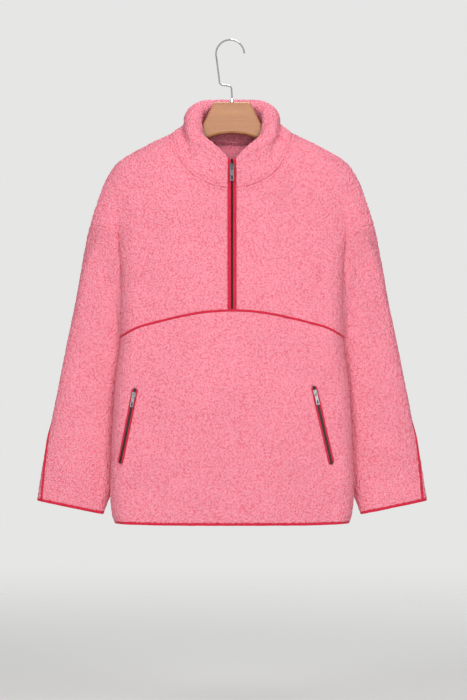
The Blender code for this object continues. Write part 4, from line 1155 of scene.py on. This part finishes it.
def build_cloth(fleece, reverse, back, foot):
    """Panels by name, the collar among them."""
    recipes = cloth_recipes(back)
    surfaces = {
        recipe.name: creased(recipe.coarse, recipe.up, recipe.across, recipe.creases)
        for recipe in recipes
    }
    surfaces["collar"] = creased(closed_collar(), 2, 3, COLLAR_CREASES)
    sew_normals(list(surfaces.values()))
    neck_dip = (foot, TOPSTITCH, STITCH_WIDTH)
    panels = {}
    for recipe in recipes:
        fine, normals = surfaces[recipe.name]
        dips = [neck_dip] if recipe.cut == "yoke_front" else []
        # The pocket zips press a groove into the lower front, darkened with painted shade
        if recipe.name == "lower_front":
            dips = [(pocket_line(pocket)[0], 0.0, POCKET_PRESS) for pocket in POCKETS]
        item = pile_panel(recipe.name + "_pile", fine, normals, fleece, recipe.sewn, dips)
        inside = reverse_side(recipe.name + "_reverse", recipe.coarse, reverse)
        hang(item, recipe.name)
        hang(inside)
        panels[recipe.name] = Panel(item, inside, fine, normals, recipe.cut)
    fine, normals = surfaces["collar"]
    item = pile_panel("collar_pile", fine, normals, fleece, ("bottom", "top"), [neck_dip])
    hang(item, "collar")
    panels["collar"] = Panel(item, None, fine, normals, "collar")
    return panels


# Trim

BINDING_BACK = -0.0011
BINDING_DEPTH = 0.0010
BINDING_FRONT = 0.0015
BINDING_FADE = 0.03
PIPING_STEP = 0.0016
PIPING_FOOT = -0.0012

# Height above which the sleeve's edge hides its piping, and how fast the piping sinks there
HIDDEN_PIPING_ABOVE = -0.715
SINK_REACH = 0.02


def waved(profile, waves, across, out, shift):
    """A profile for every place of a path, with small waves in its width and in its height."""
    rings = np.repeat(profile[None], len(waves), axis=0)
    rings[..., 0] += (across * waves)[:, None]
    rings[..., 1] += (out * np.roll(waves, shift))[:, None]
    return rings


def bound_edge(name, points, normals, inside, material, seed):
    """Folded binding round a raw edge, a little uneven in width."""
    down = unit(points - inside)
    down = unit(down - normals * np.sum(down * normals, axis=1, keepdims=True))
    places = lengths_along(points)
    last = places[-1]
    waves = uneven(places, seed, 0.018) * smooth_step(places, 0.0, BINDING_FADE)
    waves = waves * smooth_step(-places, -last, BINDING_FADE - last)
    fold = rounded_profile(BINDING_BACK, BINDING_HEIGHT, -WALL - BINDING_DEPTH, BINDING_FRONT)
    profile = waved(fold, waves, 0.00035, 0.00030, 7)
    return strip(name, points, down, normals, profile, material, closed=True)


def joined_ring(panels, row, beside):
    """Points, normals and points further in, of edges that join into one ring."""
    return [
        np.concatenate(part) for part in (
            [panel.fine[row][:-1] for panel in panels],
            [panel.normals[row][:-1] for panel in panels],
            [panel.fine[beside][:-1] for panel in panels],
        )
    ]


def build_bindings(panels, red):
    """Bindings by the panel that they go with."""
    ring = joined_ring([panels["lower_front"], panels["back"]], 0, 3)
    made = {"lower_front": bound_edge("hem_binding_tape", *ring, red, 1.0)}
    hang(made["lower_front"], "hem_binding")
    for side, seed in (("right", 2.0), ("left", 3.0)):
        pair = [panels["sleeve_front_" + side], panels["sleeve_back_" + side]]
        if side == "left":
            pair.reverse()
        cuff = bound_edge("cuff_binding_tape_" + side, *joined_ring(pair, -1, -4), red, seed)
        hang(cuff, "cuff_binding_" + side)
        made["sleeve_front_" + side] = cuff
    return made


def piping(name, node, points, normals, lift, red, seed, hidden_above=None):
    points, normals, places = evened(points, normals, PIPING_STEP)
    cord = rounded_profile(
        -PIPING_WIDTH / 2, PIPING_WIDTH / 2, PIPING_FOOT, lift + PIPING_RISE, 2.4, 14)
    profile = waved(cord, uneven(places, seed, 0.012), 0.00030, 0.00022, 5)
    if hidden_above is not None:
        sunk = smooth_step(points[:, 2], hidden_above - SINK_REACH, hidden_above + SINK_REACH)
        profile[..., 1] -= (0.75 * PIPING_RISE * sunk)[:, None]
    item = strip(name, points, sideways_of(points, normals), normals, profile, red)
    hang(item, node)
    return item


def build_pipings(panels, red):
    """Pipings by the panel that they go with."""
    front = panels["lower_front"]
    made = {"lower_front": piping(
        "yoke_piping_cord", "yoke_piping", front.fine[-1][3:-3], front.normals[-1][3:-3],
        0.0003, red, 4.0)}
    for side, column in (("right", 0), ("left", -1)):
        panel = panels["sleeve_front_" + side]
        made["sleeve_front_" + side] = piping(
            "sleeve_piping_cord_" + side, "sleeve_piping_" + side, panel.fine[4:, column],
            panel.normals[4:, column], 0.0009, red, 5.0 + column, HIDDEN_PIPING_ABOVE)
    return made


STITCH_PITCH = 0.0034
STITCH_LENGTH = 0.0026
THREAD_WIDTH = 0.0008
THREAD_RISE = 0.0004
# Shares of a stitch's length, width and rise at its corners
STITCH_CORNERS = [
    (-0.5, 0.0, -0.3), (-0.25, -0.5, 0.4), (0.25, -0.5, 0.4), (0.5, 0.0, -0.3),
    (0.25, 0.5, 0.4), (-0.25, 0.5, 0.4), (-0.25, 0.0, 1.0), (0.25, 0.0, 1.0),
]
STITCH_FACES = [
    (0, 1, 6), (1, 2, 7, 6), (2, 3, 7), (3, 4, 7), (4, 5, 6, 7), (5, 0, 6), (0, 5, 4, 3, 2, 1),
]


def stitches(name, points, normals, material):
    """Row of short threads pressed into the cloth."""
    even, out, _ = evened(points, normals, STITCH_PITCH)
    run = unit(np.gradient(even, axis=0))
    across = unit(np.cross(run, out))
    corners = np.stack([
        even + run * along * STITCH_LENGTH + across * beside * THREAD_WIDTH + out * up * THREAD_RISE
        for along, beside, up in STITCH_CORNERS
    ], axis=1)
    item = solids_mesh(name, corners, STITCH_FACES, material)
    item.data.shade_smooth()
    return item


def build_topstitch(foot, panels, thread):
    """Row of stitches below the neck seam, round the front yokes, by yoke."""
    made = {}
    for side, order in (("right", 1), ("left", -1)):
        panel = panels["yoke_front_" + side]
        distance = line_distance(panel.fine, foot)
        columns = np.arange(distance.shape[1])[::order]
        points, outs = [], []
        for row in range(len(distance) // 2, len(distance)):
            line = distance[row][columns]
            crossing = np.nonzero((line[:-1] < TOPSTITCH) & (line[1:] >= TOPSTITCH))[0]
            if len(crossing):
                column = columns[crossing[0] + 1]
                points.append(panel.fine[row][column])
                outs.append(panel.normals[row][column])
        item = stitches("neck_topstitch_" + side, np.array(points), np.array(outs), thread)
        hang(item)
        made["yoke_front_" + side] = item
    return made


# Rows across the neck tape; where it starts below the neck seam and how far it runs, as shares
# of the four rows of the back below the seam; how far it bulges and its ridges stand
TAPE_ROWS = 12
TAPE_START = 0.12
TAPE_RUN = 0.73
TAPE_BULGE = 0.0009
TAPE_RIDGE = 0.00025


def build_neck_tape(coarse_back, tape):
    """Twill tape over the neck seam inside the back."""
    back = as_array(coarse_back)
    normals = normals_of(back)
    first = YOKE_COLUMNS + 2
    last = first + NECK_COLUMNS - 3
    inner = back - normals * (WALL + 0.0004)
    top, low = inner[-1, first:last], inner[-5, first:last]
    out = -unit(normals[-2, first:last])
    rows = []
    for step in range(TAPE_ROWS + 1):
        share = TAPE_START + TAPE_RUN * step / TAPE_ROWS
        ridge = TAPE_RIDGE * (1.0 - abs(2 * (step % 2) - 1))
        bulge = TAPE_BULGE * math.sin(math.pi * step / TAPE_ROWS) ** 0.5 + ridge
        rows.append(top + (low - top) * share + out * bulge)
    hang(grid_mesh("neck_tape_twill", np.array(rows), tape), "neck_tape")


# Zips

# Across the zip: inner and outer edge of the red strips, the tape's half width, and how far the
# teeth reach over the middle and back from it. Out of the cloth: low and high side of each.
Zip = namedtuple("Zip", (
    "gap outer edge_low edge_high scallop flare "
    "tape_half tape_low tape_high tape_step tape_corners "
    "tooth_half tooth_back tooth_low tooth_high tooth_length"))
FRONT_ZIP = Zip(
    gap=0.0017, outer=ZIP_HALF_OPENING + 0.0002, edge_low=-0.0026, edge_high=0.0011,
    scallop=0.0003, flare=0.0016, tape_half=0.0073, tape_low=-0.0040, tape_high=-0.0030,
    tape_step=0.0030, tape_corners=16, tooth_half=0.0016, tooth_back=0.0004, tooth_low=-0.0031,
    tooth_high=-0.0004, tooth_length=0.0009)
POCKET_ZIP = Zip(
    gap=0.0020, outer=0.0056, edge_low=-0.0030, edge_high=0.0031, scallop=0.0002, flare=0.0,
    tape_half=0.0030, tape_low=-0.0020, tape_high=0.0023, tape_step=0.0040, tape_corners=12,
    tooth_half=0.0016, tooth_back=0.0005, tooth_low=0.0018, tooth_high=0.0030,
    tooth_length=0.0010)
TOOTH_PITCH = 0.0024
TOOTH_TAPER = 0.72
TOOTH_FACES = [(0, 2, 3, 1), (4, 5, 7, 6), (0, 1, 5, 4), (2, 6, 7, 3), (0, 4, 6, 2), (1, 3, 7, 5)]
SCALLOP_PITCH = 0.0034
SCALLOP_DEPTH = 0.00032
FLARE_LENGTH = 0.008
POCKET_STEPS = 60


def frames_along(points, normals, step):
    even, out, places = evened(points, normals, step)
    return even, out, sideways_of(even, out), places


def edge_strip(name, kind, points, normals, side, red, seed):
    """Red zip edging with a finely scalloped outer edge and a rounded face, on side -1 or 1 of
    the zip; the kind's flare is how far it spreads at the end."""
    even, out, across, places = frames_along(points, normals, 0.0007)
    waves = np.abs(np.sin(math.pi * places / SCALLOP_PITCH + seed)) * SCALLOP_DEPTH
    waves = waves + 0.0002 * uneven(places, seed, 0.01)
    left, right = sorted((side * kind.gap, side * kind.outer))
    face = rounded_profile(left, right, kind.edge_low, kind.edge_high, 3.2, 12)
    profile = np.repeat(face[None], len(even), axis=0)
    far = profile[..., 0] * side > (kind.gap + kind.outer) / 2
    profile[..., 0] += np.where(far, side * (waves[:, None] - kind.scallop), 0.0)
    spread = kind.flare * smooth_step(places, places[-1] - FLARE_LENGTH, places[-1])
    profile[..., 0] += side * spread[:, None]
    return strip(name, even, across, out, profile, red)


def zip_teeth(name, kind, points, normals, material):
    """Interlocked teeth: boxes from either side in turn."""
    even, out, across, _ = frames_along(points, normals, TOOTH_PITCH / 2)
    run = unit(np.gradient(even, axis=0))
    turn = np.where(np.arange(len(even)) % 2 == 0, 1.0, -1.0)[:, None]
    corners = []
    for up, taper in ((kind.tooth_low, 1.0), (kind.tooth_high, TOOTH_TAPER)):
        for along in (-0.5, 0.5):
            for beside in (-kind.tooth_back * taper, kind.tooth_half):
                corners.append(
                    even + run * along * kind.tooth_length * taper
                    + across * turn * beside + out * up)
    return solids_mesh(name, np.stack(corners, axis=1), TOOTH_FACES, material)


def build_zip(kind, points, normals, edges, tape, teeth, red, tape_material, metal):
    """Red edges, tape and teeth along a line. An edge is (name, side, seed, solid's name or
    None), tape is (name, solid's name), teeth is a name."""
    for name, side, seed, node in edges:
        hang(edge_strip(name, kind, points, normals, side, red, seed), node)
    even, out, across, _ = frames_along(points, normals, kind.tape_step)
    flat = rounded_profile(
        -kind.tape_half, kind.tape_half, kind.tape_low, kind.tape_high, 8.0, kind.tape_corners)
    hang(strip(tape[0], even, across, out, flat, tape_material), tape[1])
    hang(zip_teeth(teeth, kind, points, normals, metal))


def end_stop(name, ends, across, out, profile, metal):
    """Short crimped stop from one point of a zip to another."""
    stop = strip(name, np.array(ends), np.array([across] * 2), np.array([out] * 2), profile, metal)
    hang(stop)


def front_zip_line(panels):
    """Points up the middle of the front and the collar, with their outward directions."""
    yoke, collar = panels["yoke_front_right"], panels["collar"]
    count = 3 * ZIP_ROWS
    end = 2 * COLLAR_OUTER_ROWS + ZIP_TOP_ROWS
    points = np.concatenate([yoke.fine[:count, 0], collar.fine[:end, 0]])
    normals = np.concatenate([yoke.normals[:count, 0], collar.normals[:end, 0]])
    points = points * (0.0, 1.0, 1.0)
    normals = unit(normals * (0.0, 1.0, 1.0))
    points[0, 2] += PIPING_WIDTH / 2
    for _ in range(6):
        normals[1:-1] = (normals[:-2] + normals[1:-1] + normals[2:]) / 3
    return points, unit(normals)


def build_front_zip(panels, red, tape, metal):
    points, normals = front_zip_line(panels)
    edges = [
        ("zip_edge_tape_left", -1.0, 1.0, "zip_edge_left"),
        ("zip_edge_tape_right", 1.0, 2.3, "zip_edge_right"),
    ]
    build_zip(FRONT_ZIP, points, normals, edges, ("zip_tape_woven", "zip_tape"), "zip_teeth",
              red, tape, metal)
    run = unit(points[6] - points[0])
    end_stop("zip_bottom_stop", [points[2], points[2] + run * 0.0040], (1.0, 0.0, 0.0), normals[2],
             rounded_profile(-0.0019, 0.0019, -0.0030, 0.0013, 4.0, 12), metal)


def pocket_line(pocket):
    """Points down a pocket zip and their outward directions."""
    points, normals = [], []
    for step in range(POCKET_STEPS + 1):
        share = step / POCKET_STEPS
        x = pocket.top.x + (pocket.bottom.x - pocket.top.x) * share
        z = pocket.top.z + (pocket.bottom.z - pocket.top.z) * share
        points.append(surface_point(x, z, -1))
        normals.append(surface_normal(x, z, -1))
    return as_array([points])[0], as_array([normals])[0]


def build_pocket(pocket, red, metal):
    points, normals = pocket_line(pocket)
    name = "pocket_edge_" + pocket.side
    edges = [
        (name + "_a", -1.0, 3.0, "pocket_binding_" + pocket.side),
        (name + "_b", 1.0, 4.1, None),
    ]
    tape = ("pocket_tape_" + pocket.side, "pocket_zip_" + pocket.side)
    build_zip(POCKET_ZIP, points, normals, edges, tape, "pocket_teeth_" + pocket.side,
              red, metal, metal)
    run = unit(points[-1] - points[0])
    block = rounded_profile(-0.0030, 0.0030, -0.0030, 0.0033, 3.0, 12)
    for end, place, spread in (("top", 0, -1.0), ("bottom", -1, 1.0)):
        ends = [
            points[place] - run * spread * 0.0015,
            points[place] + run * spread * 0.0018,
        ]
        end_stop("pocket_tack_" + pocket.side + "_" + end, ends, np.cross(run, normals[place]),
                 normals[place], block, metal)


# Everything that shows

def finish_solids(wood, gunmetal, silver, chrome):
    """Materials and softened edges for the hanger, the sliders and the pull tabs."""
    finishes = {
        "front_slider": gunmetal, "front_pull_tab": gunmetal,
        "pocket_left_slider": silver, "pocket_left_pull_tab": silver,
        "pocket_right_slider": silver, "pocket_right_pull_tab": silver,
        "hanger_board": wood, "ferrule": chrome, "hook": chrome,
    }
    for name, material in finishes.items():
        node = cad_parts[name]
        for slot in node.material_slots:
            slot.material = material
        if name.endswith(("slider", "tab")):
            bevel = node.modifiers.new("soft_edges", "BEVEL")
            bevel.width = 0.00022
            bevel.segments = 2
            bevel.limit_method = "ANGLE"


def main():
    # Both pile materials carry painted shade between the nubs and a painted highlight on their tips
    fleece = fleece_material("fleece_pile", FLEECE_GAP_SHADE, FLEECE_MIDDLE, FLEECE_TOP_HIGHLIGHT)
    reverse = fleece_material("fleece_reverse", FLEECE_GAP_SHADE, FLEECE_REVERSE, FLEECE_MIDDLE)
    red = woven_material("red_binding", RED, (0.40, 0.004, 0.022))
    pink_tape = woven_material("pink_twill", (0.86, 0.33, 0.42), (0.66, 0.20, 0.28))
    dark_tape = woven_material("black_zip_tape", (0.035, 0.034, 0.038), (0.012, 0.012, 0.014))
    thread = woven_material("pink_thread", (0.78, 0.20, 0.28), (0.60, 0.13, 0.19), 4000.0)
    dark_metal = metal_material("dark_teeth", (0.050, 0.048, 0.052), 0.50, (0.020, 0.019, 0.022))
    gunmetal = metal_material("gunmetal_plate", (0.11, 0.11, 0.115), 0.32, (0.045, 0.045, 0.05))
    silver = metal_material("silver_plate", (0.30, 0.30, 0.31), 0.28, (0.13, 0.13, 0.135))
    chrome = metal_material("chrome_wire", (0.42, 0.42, 0.43), 0.16, (0.30, 0.30, 0.31))

    # Columns of the back run towards -X, so its grid faces outward as the others do
    back = [list(reversed(row)) for row in back_grid()]
    foot = as_array([collar_foot()])[0]
    panels = build_cloth(fleece, reverse, back, foot)
    bindings = build_bindings(panels, red)
    pipings = build_pipings(panels, red)
    topstitch = build_topstitch(foot, panels, thread)
    build_neck_tape(back, pink_tape)
    build_front_zip(panels, red, dark_tape, dark_metal)
    for pocket in POCKETS:
        build_pocket(pocket, red, dark_metal)
    finish_solids(wood_material(), gunmetal, silver, chrome)

    for name, panel in panels.items():
        extra = [panel.inside] if panel.inside else []
        extra += [trim[name] for trim in (pipings, bindings, topstitch) if name in trim]
    build_stage()


# Stage, light and camera

PICTURE_HEIGHT = 1.281
CAMERA_DISTANCE = 8.0
CAMERA_X = 0.0027
CAMERA_Z = -0.569
SENSOR = 36.0
FRONT_PLANE = -0.040
FLOOR_Z = -1.27
FLOOR_RADIUS = 7.0
FLOOR_CELLS = 12
FLOOR_COLOUR = (0.70, 0.70, 0.685)
BACKDROP_COLOUR = (0.79, 0.79, 0.785)
BACKDROP_RADIUS = 20.0
STUDIO_LIGHT = 0.27

# Soft boxes: where each stands, what it faces, its size in metres and its power in watts
Light = namedtuple("Light", "name place target size power")
LIGHTS = [
    Light("key", (-1.5, -3.3, 1.2), (0.0, 0.0, -0.4), (1.0, 1.0), 64.0),
    Light("second_key", (1.5, -3.3, 1.0), (0.0, 0.0, -0.4), (1.0, 1.0), 60.0),
    Light("low_front", (0.1, -3.8, -0.5), (0.0, 0.0, -0.5), (1.2, 1.2), 24.0),
    Light("top", (0.1, 0.2, 1.6), (0.0, 0.0, -0.2), (1.4, 1.0), 14.0),
    Light("behind", (1.2, 5.0, 3.6), (0.0, 0.0, -0.5), (2.2, 2.2), 150.0),
]


def build_floor():
    """Pale disc that fades out into the backdrop."""
    material, tree, shader = new_material("pale_floor", FLOOR_COLOUR, 0.9)
    vector = place_coordinates(tree, (1 / FLOOR_RADIUS, 1 / FLOOR_RADIUS, 0.0))
    spread = add(tree, "ShaderNodeTexGradient", {"Vector": vector}, gradient_type="SPHERICAL")
    cover = add(tree, "ShaderNodeMapRange", {
        "Value": spread.outputs["Fac"], "From Min": 0.04, "From Max": 0.85},
        interpolation_type="SMOOTHERSTEP")
    set_inputs(tree, shader, {"Alpha": cover.outputs["Result"]})
    places = np.linspace(-FLOOR_RADIUS, FLOOR_RADIUS, FLOOR_CELLS + 1)
    rows = np.array([[(x, y, 0.0) for x in places] for y in places])
    floor = grid_mesh("floor", rows, material)
    floor.location = (0.0, 0.0, FLOOR_Z)


def build_backdrop():
    """Large sphere of even tone behind everything, which lights nothing."""
    material = bpy.data.materials.new("pale_backdrop")
    material.use_nodes = True
    tree = material.node_tree
    glow = add(tree, "ShaderNodeEmission", {"Color": (*BACKDROP_COLOUR, 1.0)})
    tree.links.new(glow.outputs["Emission"], tree.nodes["Material Output"].inputs["Surface"])
    mesh = bmesh.new()
    bmesh.ops.create_icosphere(mesh, subdivisions=4, radius=BACKDROP_RADIUS)
    data = bpy.data.meshes.new("backdrop")
    mesh.to_mesh(data)
    mesh.free()
    data.materials.append(material)
    backdrop = link("backdrop", data)
    backdrop.visible_diffuse = False
    backdrop.visible_shadow = False


def area_light(light):
    data = bpy.data.lights.new(light.name, "AREA")
    data.shape = "RECTANGLE"
    data.size, data.size_y = light.size
    data.energy = light.power
    item = link(light.name, data)
    item.location = light.place
    item.rotation_mode = "QUATERNION"
    item.rotation_quaternion = (
        Vector(light.target) - Vector(light.place)).to_track_quat("-Z", "Y")


def build_stage():
    build_floor()
    build_backdrop()
    world = bpy.data.worlds.new("studio")
    world.use_nodes = True
    set_inputs(world.node_tree, world.node_tree.nodes["Background"], {
        "Color": (*WHITE, 1.0), "Strength": STUDIO_LIGHT})
    bpy.context.scene.world = world
    bpy.context.scene.view_settings.view_transform = "Standard"
    for light in LIGHTS:
        area_light(light)

    camera = bpy.data.cameras.new("camera")
    camera.sensor_fit = "VERTICAL"
    camera.sensor_width = SENSOR
    camera.sensor_height = SENSOR
    camera.lens = SENSOR * CAMERA_DISTANCE / PICTURE_HEIGHT
    item = link("camera", camera)
    item.location = (CAMERA_X, FRONT_PLANE - CAMERA_DISTANCE, CAMERA_Z)
    item.rotation_euler = Euler((math.radians(90.0), 0.0, 0.0))
    bpy.context.scene.camera = item


main()
